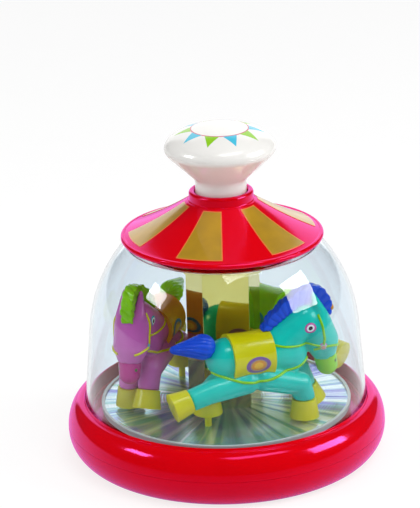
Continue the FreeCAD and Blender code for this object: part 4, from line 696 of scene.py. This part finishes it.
def pad_printed_white():
    """Gloss white ABS. Thin inks lie on the cap's top: a string with pennants in two colours."""
    material, tree, place = new_material("gloss_white_abs_with_pad_print")
    x, y, z = add(tree, "SeparateXYZ", {}, (place,)).outputs
    flat = add(tree, "CombineXYZ", {}, (x, y))
    metres = add(tree, "VectorMath", "LENGTH", (flat,)).outputs["Value"]
    r = add(tree, "Math", "DIVIDE", (metres, MM))

    # the nearest pennant, and how far a place is aside of its middle
    forward = add(tree, "Math", "MULTIPLY", (y, -1.0))
    angle = add(tree, "Math", "ARCTAN2", (x, forward))
    from_first = add(tree, "Math", "SUBTRACT", (angle, math.radians(PENNANT_FIRST_DEG)))
    number = add(tree, "Math", "MULTIPLY", (from_first, PENNANTS / (2 * math.pi)))
    nearest = add(tree, "Math", "ROUND", (number,))
    off_middle = add(tree, "Math", "SUBTRACT", (number, nearest))
    share = add(tree, "Math", "ABSOLUTE", (off_middle,))
    aside = add(tree, "Math", "MULTIPLY", (share, 2 * math.pi / PENNANTS))
    sine = add(tree, "Math", "SINE", (aside,))
    across = add(tree, "Math", "MULTIPLY", (sine, r))

    # the pennant narrows from the string to its tip
    from_tip = add(tree, "Math", "SUBTRACT", (PENNANT_TIP_R, r))
    narrowed = add(tree, "Math", "MULTIPLY",
                   (from_tip, PENNANT_HALF_W / (PENNANT_TIP_R - PENNANT_STRING_R)))
    room = add(tree, "Math", "SUBTRACT", (narrowed, across))
    in_sides = add(tree, "MapRange", SMOOTH, (room, -PENNANT_SIDE_SOFT, PENNANT_SIDE_SOFT))
    past_string = add(tree, "MapRange", SMOOTH,
                      (r, PENNANT_STRING_R - PENNANT_TOP_SOFT, PENNANT_STRING_R + PENNANT_TOP_SOFT))
    flag = add(tree, "Math", "MULTIPLY", (in_sides, past_string))
    from_string = add(tree, "Math", "SUBTRACT", (r, STRING_MID_R))
    string_gap = add(tree, "Math", "ABSOLUTE", (from_string,))
    string = add(tree, "MapRange", SMOOTH, (string_gap, STRING_HALF_W, STRING_CORE))
    upper = add(tree, "MapRange", SMOOTH, (z, PRINT_LOW_Z * MM, PRINT_WHOLE_Z * MM))
    string_ink = add(tree, "Math", "MULTIPLY", (string, upper))
    flag_ink = add(tree, "Math", "MULTIPLY", (flag, upper))

    odd = add(tree, "Math", "PINGPONG", (nearest, 1.0))
    ink = add(tree, "Mix", RGBA, {0: odd, 6: colour("#8CC81E"), 7: colour("#46BEDC")})
    white, rough = patches(tree, place, WHITE_FLOW_MM, 3.0, ("#E9E7E3", "#EEEDEA"), (0.14, 0.22))
    strung = add(tree, "Mix", RGBA, {0: string_ink, 6: white, 7: colour("#C8506E")})
    tone = add(tree, "Mix", RGBA, {0: flag_ink, 6: strung.outputs[2], 7: ink.outputs[2]})
    shader = add(tree, "BsdfPrincipled", {},
                 {"Base Color": tone.outputs[2], "Roughness": rough, "IOR": 1.52,
                  "Normal": uneven(tree, place, PEEL_MM, 2.0, 0.03, 0.4)})
    return surfaced(material, tree, shader)


white_abs = pad_printed_white()
edge_z, edge_r = KNOB_SEAM_Z - FUNNEL_EDGE_DROP, KNOB_R - FUNNEL_EDGE_IN
slope = math.atan2(edge_z - FUNNEL_START_Z, edge_r - STEM_R)
flare = math.pi / 2.0 - slope
flare_arc = arc_points((STEM_R + FUNNEL_FILLET_R, FUNNEL_START_Z), FUNNEL_FILLET_R, FUNNEL_FILLET_R,
                       180.0, 180.0 - math.degrees(flare), 10)
edge_middle = (KNOB_R - FUNNEL_EDGE_IN / 4.0, KNOB_SEAM_Z - FUNNEL_EDGE_DROP / 2.0)
edge_arc = arc_by_three((edge_r, edge_z), edge_middle, (KNOB_R, KNOB_SEAM_Z), 8)
inner_stem_r = STEM_R - STEM_WALL
lean = (edge_r - flare_arc[-1][0]) / (edge_z - flare_arc[-1][1])
shift = (-KNOB_WALL * math.sin(slope), KNOB_WALL * math.cos(slope))


def funnel_inside_r(z):
    """Radius of the funnel's inner face at a height."""
    return edge_r + shift[0] + lean * (z - edge_z - shift[1])


lap_z = KNOB_SEAM_Z - TONGUE_H - TONGUE_GAP
funnel_outline = ([(inner_stem_r, STEM_BOTTOM_Z), (STEM_R, STEM_BOTTOM_Z)] + flare_arc + edge_arc + [
    (KNOB_R - KNOB_WALL, KNOB_SEAM_Z), (KNOB_R - KNOB_WALL, lap_z), (funnel_inside_r(lap_z), lap_z),
    (funnel_inside_r(WEB_Z + WEB_T), WEB_Z + WEB_T), (0, WEB_Z + WEB_T), (0, WEB_Z - ROD_BOSS_H),
    (ROD_BOSS_R, WEB_Z - ROD_BOSS_H), (ROD_BOSS_R, WEB_Z), (inner_stem_r, WEB_Z)])
funnel = turned_shell("knob_funnel_and_stem", funnel_outline, white_abs, radius=0.22)
settle(funnel, "plunger", ["knob_base"])
tongue_r = KNOB_R - KNOB_WALL - TONGUE_GAP
cap_outline = ([(tongue_r, KNOB_SEAM_Z)]
               + arc_points((0, KNOB_SEAM_Z), KNOB_R, CAP_H, 0.0, 90.0, 40)
               + arc_points((0, KNOB_SEAM_Z), tongue_r - TONGUE_T, CAP_H - KNOB_WALL, 90.0, 0.0, 24)
               + [(tongue_r - TONGUE_T, KNOB_SEAM_Z - TONGUE_H), (tongue_r, KNOB_SEAM_Z - TONGUE_H)])
cap = turned_shell("knob_cap", cap_outline, white_abs, radius=0.22)
settle(cap, "plunger", ["knob_cap"])


# Drive. A twisted rod of zinc-plated steel hangs from the knob and turns the nylon nut. The
# return spring of bright wire is coiled round it, between the guide tube and the knob. The
# pin, the axle and the screws are plated steel too; bush, washer and clutch cover are nylon.
COIL_R, WIRE_R, COIL_TURNS = 10.6, 0.8, 7.0
COIL_LOW_Z, COIL_HIGH_Z = 131.55, 175.05
COIL_STEPS, WIRE_SIDES = 40, 14
WIRE_GRAIN_MM, ZINC_GRAIN_MM = 11.1, 16.7      # drawn coarser than the real grain of the metal
GRAIN_SQUEEZE = 12.0


def drawn_steel(name, light, dark, roughness, grain_mm):
    """Bright steel: a clear metal gloss, broken by close bands of grain along its length."""
    material, tree, place = new_material(name)
    line = add(tree, "Mapping", {}, {"Vector": place, "Scale": (1.0, 1.0, GRAIN_SQUEEZE)})
    tone, rough = patches(tree, line, grain_mm, 5.0, (light, dark), (roughness * 0.8, roughness * 1.3))
    bump = uneven(tree, line, grain_mm, 5.0, 0.08, 0.2)
    shader = add(tree, "BsdfPrincipled", {},
                 {"Base Color": tone, "Metallic": 1.0, "Roughness": rough, "Normal": bump})
    return surfaced(material, tree, shader)


def coil_tree(sizes, material):
    """A round wire swept along a spiral of one radius."""
    tree, given, result = new_shape_tree("coil_spring", sizes)
    spiral = add(tree, "GeometryNodeCurveSpiral", {},
                 {"Resolution": COIL_STEPS, "Rotations": given["Turns"], "Start Radius": given["Radius"],
                  "End Radius": given["Radius"], "Height": given["Height"]})
    wire = add(tree, "GeometryNodeCurvePrimitiveCircle", {},
               {"Resolution": WIRE_SIDES, "Radius": given["Wire"]})
    tube = add(tree, "GeometryNodeCurveToMesh", {}, {0: spiral, 1: wire, "Fill Caps": True})
    foot = add(tree, "CombineXYZ", {}, {2: given["Foot"]})
    lifted = add(tree, "GeometryNodeTransform", {}, {"Geometry": tube, "Translation": foot})
    real = add(tree, "GeometryNodeRealizeInstances", {}, (lifted,))
    smooth = add(tree, "GeometryNodeSetShadeSmooth", {}, (real,))
    painted = add(tree, "GeometryNodeSetMaterial", {}, {"Geometry": smooth, "Material": material})
    tree.links.new(painted.outputs[0], result.inputs[0])
    return tree


coil_sizes = {"Turns": COIL_TURNS, "Radius": COIL_R * MM, "Height": (COIL_HIGH_Z - COIL_LOW_Z) * MM,
              "Wire": WIRE_R * MM, "Foot": COIL_LOW_Z * MM}
spring_wire = drawn_steel("drawn_spring_steel_wire", "#A8A9AC", "#8C8D92", 0.28, WIRE_GRAIN_MM)
coil = shaped_by(coil_tree(coil_sizes, spring_wire), "return_spring_coil", coil_sizes)
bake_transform(coil)
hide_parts("return_spring")

zinc_steel = drawn_steel("zinc_plated_mild_steel", "#C2C4C6", "#A9ABB0", 0.3, ZINC_GRAIN_MM)
for node in ("drive_rod", "rod_pin", "base_screws", "roof_screws", "column_screws", "axle"):
    dress(node, zinc_steel)
nylon = moulded_plastic("moulded_natural_nylon", "#E4E0D4", "#DAD6C8", 0.42, see_in=0.05)
for node in ("drive_nut", "hub_bush", "thrust_washer", "clutch_cover"):
    dress(node, nylon)


# Turntable. A moulded clear polystyrene disc with a low rim, nine ribs and the hub. It is
# seen as a pale ring round the foil, with fine marks moulded along its rim.
RIM_MID_R, RIM_TOP_Z = 73.7, 31.6
MARK_COUNT, MARK_L, MARK_W, MARK_H = 120, 1.1, 0.4, 0.2
LONG_MARK_EVERY, SHORT_MARK_SHARE = 5.0, 0.55
FROST_MM = 3.33          # drawn coarser than a real spark-eroded texture


def frosted_polystyrene():
    """Clear polystyrene from a textured mould: milky, half seen through, with a soft gloss."""
    material, tree, place = new_material("frosted_moulded_polystyrene")
    tone, rough = patches(tree, place, FROST_MM, 4.0, ("#EEF4F5", "#FAFCFC"), (0.12, 0.24))
    wall = add(tree, "BsdfPrincipled", {},
               {"Base Color": tone, "Roughness": rough, "IOR": 1.3, "Transmission Weight": 0.45})
    return surfaced(material, tree, lit_through(tree, wall, "#EEF2F2"))


def rim_mark_tree(sizes, material):
    """Small bars set round a circle, with every fifth one longer than the rest."""
    tree, given, result = new_shape_tree("turntable_rim_marks", sizes)
    size = add(tree, "CombineXYZ", {}, (given["Length"], given["Width"], given["Height"]))
    bar = add(tree, "GeometryNodeMeshCube", {}, {"Size": size})
    ring = add(tree, "GeometryNodeMeshCircle", {},
               {"Vertices": given["Count"], "Radius": given["Radius"]})
    index = add(tree, "GeometryNodeInputIndex")
    share = add(tree, "Math", "DIVIDE", (index, given["Count"]))
    turn = add(tree, "Math", "MULTIPLY", (share, 2 * math.pi))
    turned = add(tree, "CombineXYZ", {}, {2: turn})
    place = add(tree, "Math", "MODULO", (index, LONG_MARK_EVERY))
    short = add(tree, "Math", "GREATER_THAN", (place, 0.5))
    length = add(tree, "MapRange", {}, {0: short, 3: 1.0, 4: SHORT_MARK_SHARE})
    shrunk = add(tree, "CombineXYZ", {}, (length, 1.0, 1.0))
    marks = add(tree, "GeometryNodeInstanceOnPoints", {},
                {"Points": ring, "Instance": bar, "Rotation": turned, "Scale": shrunk})
    real = add(tree, "GeometryNodeRealizeInstances", {}, (marks,))
    level = add(tree, "CombineXYZ", {}, {2: given["Level"]})
    raised = add(tree, "GeometryNodeTransform", {}, {"Geometry": real, "Translation": level})
    painted = add(tree, "GeometryNodeSetMaterial", {}, {"Geometry": raised, "Material": material})
    tree.links.new(painted.outputs[0], result.inputs[0])
    return tree


dress("turntable", frosted_polystyrene())
mark_sizes = {"Count": MARK_COUNT, "Radius": RIM_MID_R * MM, "Length": MARK_L * MM,
              "Width": MARK_W * MM, "Height": MARK_H * MM, "Level": RIM_TOP_Z * MM}
frosted_mark = moulded_plastic("frosted_mark_on_polystyrene", "#9AA6A8", "#8E9A9E", 0.35)
rim_marks = shaped_by(rim_mark_tree(mark_sizes, frosted_mark), "turntable_rim_marks", mark_sizes)
settle(rim_marks, "carousel", [])


# Foil. A disc of silvered film, embossed with rays and fine rings that break the light into
# soft colours, is glued on the turntable round its hub.
DISC_TOP_Z, FOIL_T, HUB_R = 30.4, 0.25, 8.3
RING_PITCH_MM = 1.7      # drawn coarser than the real rings, which are too fine to show
BROAD_RAYS, FINE_RAYS = 2.6, 9.0               # waves to a radian, so a ray widens outward
RAY_PATCH_MM = 111.0     # how far out a broad ray keeps its hue


def set_stops(ramp, stops):
    """Gives a colour ramp its places and sRGB codes."""
    ramp.elements[0].position, ramp.elements[0].color = stops[0][0], colour(stops[0][1])
    ramp.elements[1].position, ramp.elements[1].color = stops[-1][0], colour(stops[-1][1])
    for position, code in stops[1:-1]:
        ramp.elements.new(position).color = colour(code)


def holographic_foil():
    """Embossed holographic film: silver beams between rays of soft colour, and faint rings whose grooves are
    darkened with painted shade.
    """
    material, tree, place = new_material("embossed_holographic_foil")
    x, y = add(tree, "SeparateXYZ", {}, (place,)).outputs[:2]
    flat = add(tree, "CombineXYZ", {}, (x, y))
    spoke = add(tree, "VectorMath", "NORMALIZE", (flat,))
    r = add(tree, "VectorMath", "LENGTH", (flat,)).outputs["Value"]
    outward = add(tree, "Math", "DIVIDE", (r, RAY_PATCH_MM * MM))
    patch = add(tree, "CombineXYZ", {}, {2: outward})
    spot = add(tree, "VectorMath", "ADD", (spoke, patch))
    broad = add(tree, "TexNoise", {}, {"Vector": spot, "Scale": BROAD_RAYS, "Detail": 2.0})
    rays = add(tree, "TexNoise", {},
               {"Vector": spoke, "Scale": FINE_RAYS, "Detail": 6.0, "Roughness": 0.7})
    beam = add(tree, "MapRange", SMOOTH, (rays, 0.42, 0.60))
    both = add(tree, "Math", "ADD", (broad, rays))
    hue = add(tree, "ValToRGB", {}, (add(tree, "Math", "MULTIPLY", (both, 0.5)),))
    set_stops(hue.color_ramp, ((0.36, "#5A74BC"), (0.42, "#9C92D6"), (0.46, "#74B8CE"), (0.50, "#9CCFAE"),
                               (0.54, "#D6C6E2"), (0.58, "#8E96D2"), (0.62, "#84C4C8"), (0.68, "#ECC8A8")))
    silver = add(tree, "Mix", RGBA, {0: beam, 6: hue, 7: colour("#F4F8F6")})
    waves = add(tree, "Math", "MULTIPLY", (r, 2 * math.pi / (RING_PITCH_MM * MM)))
    ring = add(tree, "Math", "SINE", (waves,))
    # painted shade: the colour darkens in the grooves of the rings, where the relief dips
    painted_groove_shade = add(tree, "MapRange", {}, (ring, -1.0, 1.0, 0.88, 1.0))
    tone = add(tree, "Mix", {"data_type": "RGBA", "blend_type": "MULTIPLY"},
               {0: 1.0, 6: silver.outputs[2], 7: painted_groove_shade})
    ring_relief = add(tree, "Math", "MULTIPLY", (ring, 0.5))
    relief = add(tree, "Math", "MULTIPLY_ADD", (rays, 2.0, ring_relief))
    bump = add(tree, "Bump", {}, {"Strength": 0.22, "Distance": 0.3 * MM, "Height": relief})
    rough = add(tree, "MapRange", {}, {0: beam, 3: 0.14, 4: 0.24})
    shader = add(tree, "BsdfPrincipled", {},
                 {"Base Color": tone.outputs[2], "Metallic": 0.8, "Roughness": rough, "Normal": bump})
    return surfaced(material, tree, shader)


foil_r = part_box("foil_disc")[1].x / MM
foil_outline = [(HUB_R, DISC_TOP_Z), (foil_r, DISC_TOP_Z), (foil_r, DISC_TOP_Z + FOIL_T),
                (HUB_R, DISC_TOP_Z + FOIL_T)]
foil = turned_shell("holographic_foil_disc", foil_outline, holographic_foil(), radius=0.05)
settle(foil, "carousel", ["foil_disc"])


# Column. A five-sided tube of polystyrene, metallised in a pale gold that mirrors the
# ponies, with a head of the same finish screwed on. Its walls are very slightly wavy.
COLUMN_SINK_MM, COLUMN_CLOUD_MM, COLUMN_EDGE = 22.2, 14.3, 0.35


def metallised_gold():
    """Vacuum-metallised plastic: a pale gold mirror, bent a little by the wall behind it."""
    material, tree, place = new_material("vacuum_metallised_pale_gold")
    bump = uneven(tree, place, COLUMN_SINK_MM, 1.0, 0.10, 0.8)
    tone, rough = patches(tree, place, COLUMN_CLOUD_MM, 4.0, ("#E2D684", "#DACB72"), (0.03, 0.08))
    shader = add(tree, "BsdfPrincipled", {},
                 {"Base Color": tone, "Metallic": 1.0, "Roughness": rough, "Normal": bump})
    return surfaced(material, tree, shader)


def merged_copy(name, node, material):
    """One closed mesh from the loose triangles of a CAD node."""
    builder = bmesh.new()
    builder.from_mesh(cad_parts[node].data)
    bmesh.ops.remove_doubles(builder, verts=builder.verts, dist=2e-6)
    bmesh.ops.recalc_face_normals(builder, faces=builder.faces)
    return finished_mesh(name, builder, material)


def softened_edges(piece, width_mm, steps=3, sharpest_deg=40.0):
    """Rounds a piece's sharp edges as its mould does."""
    bevel = piece.modifiers.new("edge", "BEVEL")
    bevel.width = width_mm * MM
    bevel.segments = steps
    bevel.limit_method = "ANGLE"
    bevel.angle_limit = math.radians(sharpest_deg)
    bevel.harden_normals = False
    return plain(piece)


gold_mirror = metallised_gold()
tube = softened_edges(merged_copy("mirror_column_tube", "column", gold_mirror), COLUMN_EDGE)
settle(tube, "carousel", ["column"])
head = softened_edges(merged_copy("mirror_column_head", "column_head", gold_mirror), COLUMN_EDGE)
settle(head, "carousel", ["column_head"])


# Ponies. Each is blow-moulded in one glossy colour, with soft hollows where neck, legs and
# body meet. The muzzle, mane, tail, saddle and hooves are pieces of other colours pushed on.
PONY_CIRCLE_R, FOIL_TOP_Z = 43.02, 30.65
PONY_TURNS = {"teal": 20.0, "green": 143.0, "pink": 252.0}
BODY_VOXEL, BODY_PASSES, SMALL_VOXEL, SMALL_PASSES, MOULD_EDGE = 0.8, 14, 0.5, 6, 0.5
MANE_MIDDLE, TAIL_CORE_UP = (29.0, 54.0), 53.2
HAIR_LEAN, MANE_CURL = 0.035, 0.006            # radians to a millimetre
MANE_GROOVES, MANE_DEPTH, TAIL_GROOVES, TAIL_DEPTH = 30, 0.55, 13, 0.5


def pony_spot(name, along, up, across):
    """A place on a pony, in metres: along its back, over the foil, and away from the axis."""
    turn = Matrix.Rotation(math.radians(PONY_TURNS[name]), 4, "Z")
    return turn @ (Vector((along, across - PONY_CIRCLE_R, up + FOIL_TOP_Z)) * MM)


def blended(name, node, material, voxel_mm, passes):
    """A CAD solid as one skin, with the hollows between its forms drawn smooth."""
    piece = merged_copy(name, node, material)
    skin = piece.modifiers.new("skin", "REMESH")
    skin.mode = "VOXEL"
    skin.voxel_size = voxel_mm * MM
    skin.use_smooth_shade = True
    flow = piece.modifiers.new("flow", "SMOOTH")
    flow.factor = 0.5
    flow.iterations = passes
    piece = plain(piece)
    piece.data.shade_smooth()
    return piece


def mane_strand(along, up, across):
    """Angle of a strand of the mane: they fan out from the neck and lean back across it."""
    ahead, over = along - MANE_MIDDLE[0], up - MANE_MIDDLE[1]
    return math.atan2(over, ahead) + HAIR_LEAN * across + MANE_CURL * math.hypot(over, ahead)


def tail_strand(along, up, across):
    """Angle of a strand of the tail: they run round its core from root to tip."""
    return math.atan2(across, up - TAIL_CORE_UP) + HAIR_LEAN * along


def combed(piece, name, strand, grooves, depth_mm):
    """Presses grooves between strands of hair into a mane or a tail."""
    back = Matrix.Rotation(-math.radians(PONY_TURNS[name]), 4, "Z")
    normals = [vertex.normal.copy() for vertex in piece.data.vertices]
    for vertex, normal in zip(piece.data.vertices, normals):
        here = (back @ vertex.co) / MM
        angle = strand(here.x, here.z - FOIL_TOP_Z, here.y + PONY_CIRCLE_R)
        press = (0.5 - 0.5 * math.cos(grooves * angle)) ** 3
        vertex.co -= normal * (depth_mm * MM * press)


def pony_gloss(name, main, shade):
    """Glossy polypropylene: a softer highlight than the red, and colour lit from within."""
    return moulded_plastic(name, main, shade, 0.2, peel=0.03, see_in=0.06, gloss=0.3)


PONY_COLOURS = {
    "turquoise": pony_gloss("moulded_turquoise_polypropylene", "#06CCBC", "#04C2B6"),
    "blue": pony_gloss("moulded_blue_polypropylene", "#0C50DC", "#0A46CE"),
    "yellow": pony_gloss("moulded_yellow_polypropylene", "#DCCE00", "#D0C400"),
    "lime": pony_gloss("moulded_lime_polypropylene", "#92D400", "#86C800"),
    "pink": pony_gloss("moulded_pink_polypropylene", "#D468BA", "#C85CB0"),
    "magenta": pony_gloss("moulded_magenta_polypropylene", "#C6208C", "#BA1C80"),
    "orange": pony_gloss("moulded_orange_polypropylene", "#E29406", "#D68A04")}
PONY_DRESS = {
    "teal": {"body": "turquoise", "saddle": "yellow", "mane": "blue", "tail": "blue",
             "hooves": "yellow", "muzzle": "lime"},
    "green": {"body": "lime", "saddle": "lime", "mane": "orange", "tail": "orange",
              "hooves": "yellow", "muzzle": "blue"},
    "pink": {"body": "pink", "saddle": "orange", "mane": "lime", "tail": "lime",
             "hooves": "yellow", "muzzle": "magenta"}}
pony_skins = {}
for pony, wears in PONY_DRESS.items():
    for part, shade in wears.items():
        node = f"{pony}_pony_{part}"
        name, material = f"{pony}_pony_moulded_{part}", PONY_COLOURS[shade]
        if part == "body":
            piece = blended(name, node, material, BODY_VOXEL, BODY_PASSES)
        elif part in ("mane", "tail", "muzzle"):
            piece = blended(name, node, material, SMALL_VOXEL, SMALL_PASSES)
        else:
            piece = softened_edges(merged_copy(name, node, material), MOULD_EDGE)
        if part == "mane":
            combed(piece, pony, mane_strand, MANE_GROOVES, MANE_DEPTH)
        if part == "tail":
            combed(piece, pony, tail_strand, TAIL_GROOVES, TAIL_DEPTH)
        settle(piece, "carousel", [node])
        pony_skins[pony, part] = piece


# Eyes, nostrils, bridles and saddle badges. Small moulded inlays and cords of soft PVC, set
# into the skin of each pony on both sides and following its curve.
EYE_AT, EYE_HALF = (33.0, 57.6), (3.7, 3.404)
NOSTRIL_AT, NOSTRIL_HALF = (50.4, 33.2), (0.95, 1.235)
BADGE_AT, BADGE_HALF = (-0.2, 41.2), (8.2, 5.6)
BIT_RING_AT, BIT_RING_HALF = (41.0, 44.8), (2.5, 2.5)
STRAPS = {
    "cheek_strap": (((38.6, 64.4), (40.4, 57.0), (41.6, 50.0), BIT_RING_AT), 0.75),
    "nose_strap": (((36.6, 42.6), BIT_RING_AT, (47.0, 44.6), (52.6, 42.8)), 0.75),
    "rein": ((BIT_RING_AT, (33.5, 46.8), (25.0, 47.6), (16.0, 49.0), (10.5, 50.6)), 0.7),
    "belly_strap": (((-25.0, 37.2), (-18.0, 34.8), (-10.0, 32.2), (-1.6, 30.8), (8.0, 31.6),
                     (18.0, 33.4), (26.6, 35.4), (33.0, 38.6)), 0.8)}
INLAY_EDGE_SUNK, STRAP_RAISED = 0.12, 0.15
CLEAR_OF_PONY = 40.0
PVC_RUB_MM = 5.0


def skin_tree(pieces):
    """A search tree over the faces of some pieces."""
    points, faces = [], []
    for piece in pieces:
        first = len(points)
        points += [vertex.co.copy() for vertex in piece.data.vertices]
        faces += [[first + i for i in face.vertices] for face in piece.data.polygons]
    return BVHTree.FromPolygons(points, faces)


def on_skin(tree, name, along, up, side):
    """Where a line square to the pony meets its skin on one side, and the way out there."""
    start = pony_spot(name, along, up, side * CLEAR_OF_PONY)
    way = (pony_spot(name, along, up, 0.0) - start).normalized()
    return tree.ray_cast(start, way)[:2]


def ringed(name, stops, roughness=0.14):
    """Moulded PVC in rings of colour, read from how far a place is from the inlay's middle."""
    material, tree, place = new_material(name)
    share = add(tree, "Attribute", {"attribute_name": "from_middle"}).outputs["Fac"]
    rings = add(tree, "ValToRGB", {}, (share,))
    rings.color_ramp.interpolation = "CONSTANT"
    set_stops(rings.color_ramp, stops)
    rub = add(tree, "TexNoise", {}, {"Vector": place, "Scale": 1 / (PVC_RUB_MM * MM), "Detail": 3.0})
    rough = add(tree, "MapRange", {}, {0: rub, 3: roughness, 4: roughness * 1.6})
    shader = add(tree, "BsdfPrincipled", {}, {"Base Color": rings, "Roughness": rough, "IOR": 1.52})
    return surfaced(material, tree, shader)


def inlay(name, pony, skin, centre, half, rise_mm, material, rings=14, spokes=40):
    """A lens-shaped inlay laid on the skin of both sides, its edge just under the surface."""
    builder = bmesh.new()
    middle = builder.verts.layers.float.new("from_middle")
    for side in (-1, 1):
        rows = []
        for i in range(rings + 1):
            share = i / rings
            height = rise_mm * (1 - share ** 4) - INLAY_EDGE_SUNK * share ** 4
            row = []
            for k in range(1 if i == 0 else spokes):
                angle = 2 * math.pi * k / spokes
                place, normal = on_skin(skin, pony, centre[0] + half[0] * share * math.cos(angle),
                                        centre[1] + half[1] * share * math.sin(angle), side)
                vertex = builder.verts.new(place + normal * MM * height)
                vertex[middle] = share
                row.append(vertex)
            rows.append(row)
        for low, high in zip(rows, rows[1:]):
            for k in range(spokes):
                m = (k + 1) % spokes
                corners = list(dict.fromkeys([low[k % len(low)], high[k], high[m], low[m % len(low)]]))
                builder.faces.new(corners if side < 0 else corners[::-1])
    piece = finished_mesh(name, builder, material)
    piece.data.shade_smooth()
    settle(piece, "carousel", [])


def made_mesh(curve_piece, material):
    """The plain mesh of a curve object, in its place."""
    name = curve_piece.name
    graph = bpy.context.evaluated_depsgraph_get()
    mesh = bpy.data.meshes.new_from_object(curve_piece.evaluated_get(graph))
    bpy.data.objects.remove(curve_piece)
    mesh.materials.clear()
    mesh.materials.append(material)
    mesh.shade_smooth()
    piece = bpy.data.objects.new(name, mesh)
    scene.collection.objects.link(piece)
    return piece


def strap(name, pony, skin, line, radius_mm, material, steps=10):
    """Round cords along a line on both sides of a pony, nearly half sunk in its skin."""
    curve = bpy.data.curves.new(name, "CURVE")
    curve.dimensions = "3D"
    curve.bevel_depth = radius_mm * MM
    curve.bevel_resolution = 3
    curve.use_fill_caps = True
    for side in (-1, 1):
        places = []
        for (a0, u0), (a1, u1) in zip(line, line[1:]):
            for k in range(steps):
                along, up = a0 + (a1 - a0) * k / steps, u0 + (u1 - u0) * k / steps
                place, normal = on_skin(skin, pony, along, up, side)
                if place is not None:
                    places.append(place + normal * (STRAP_RAISED * radius_mm * MM))
        spline = curve.splines.new("NURBS")
        spline.points.add(len(places) - 1)
        for point, place in zip(spline.points, places):
            point.co = (*place, 1.0)
        spline.order_u = 4
        spline.use_endpoint_u = True
    piece = bpy.data.objects.new(name, curve)
    scene.collection.objects.link(piece)
    settle(made_mesh(piece, material), "carousel", [])


TRIM = {"teal": ("lime", "#D05AA8", "#7A4E9A"), "green": ("yellow", "#3C6ED2", "#2A8F9A"),
        "pink": ("yellow", "#3CB4C8", "#2E5FC0")}
for pony, (trim, ring_code, badge_code) in TRIM.items():
    body = skin_tree([pony_skins[pony, "body"], pony_skins[pony, "muzzle"]])
    saddle = skin_tree([pony_skins[pony, "saddle"], pony_skins[pony, "body"]])
    eye = ringed(f"moulded_pvc_eye_{pony}",
                 ((0.0, "#1A1622"), (0.36, "#F4EEF2"), (0.64, ring_code), (0.9, "#8C3C78")))
    inlay(f"{pony}_pony_eyes", pony, body, EYE_AT, EYE_HALF, 0.5, eye)
    nostril = ringed(f"moulded_pvc_nostril_{pony}", ((0.0, "#3C5A10"), (0.8, "#5A7A18")), 0.3)
    inlay(f"{pony}_pony_nostrils", pony, body, NOSTRIL_AT, NOSTRIL_HALF, 0.12, nostril,
          rings=5, spokes=18)
    badge = ringed(f"printed_badge_{pony}", ((0.0, "#E6AE1C"), (0.34, "#D8881E"), (0.52, "#B08C5A"),
                                            (0.62, badge_code), (0.92, "#A0B414")), 0.25)
    inlay(f"{pony}_pony_saddle_badges", pony, saddle, BADGE_AT, BADGE_HALF, 0.3, badge)
    for strap_name, (line, radius) in STRAPS.items():
        strap(f"{pony}_pony_{strap_name}", pony, body, line, radius, PONY_COLOURS[trim])
    ring = ringed(f"moulded_pvc_bit_ring_{pony}", ((0.0, "#D9A08C"), (0.45, "#9FB8C0"), (0.8, ring_code)))
    inlay(f"{pony}_pony_bit_rings", pony, body, BIT_RING_AT, BIT_RING_HALF, 0.9, ring,
          rings=10, spokes=28)
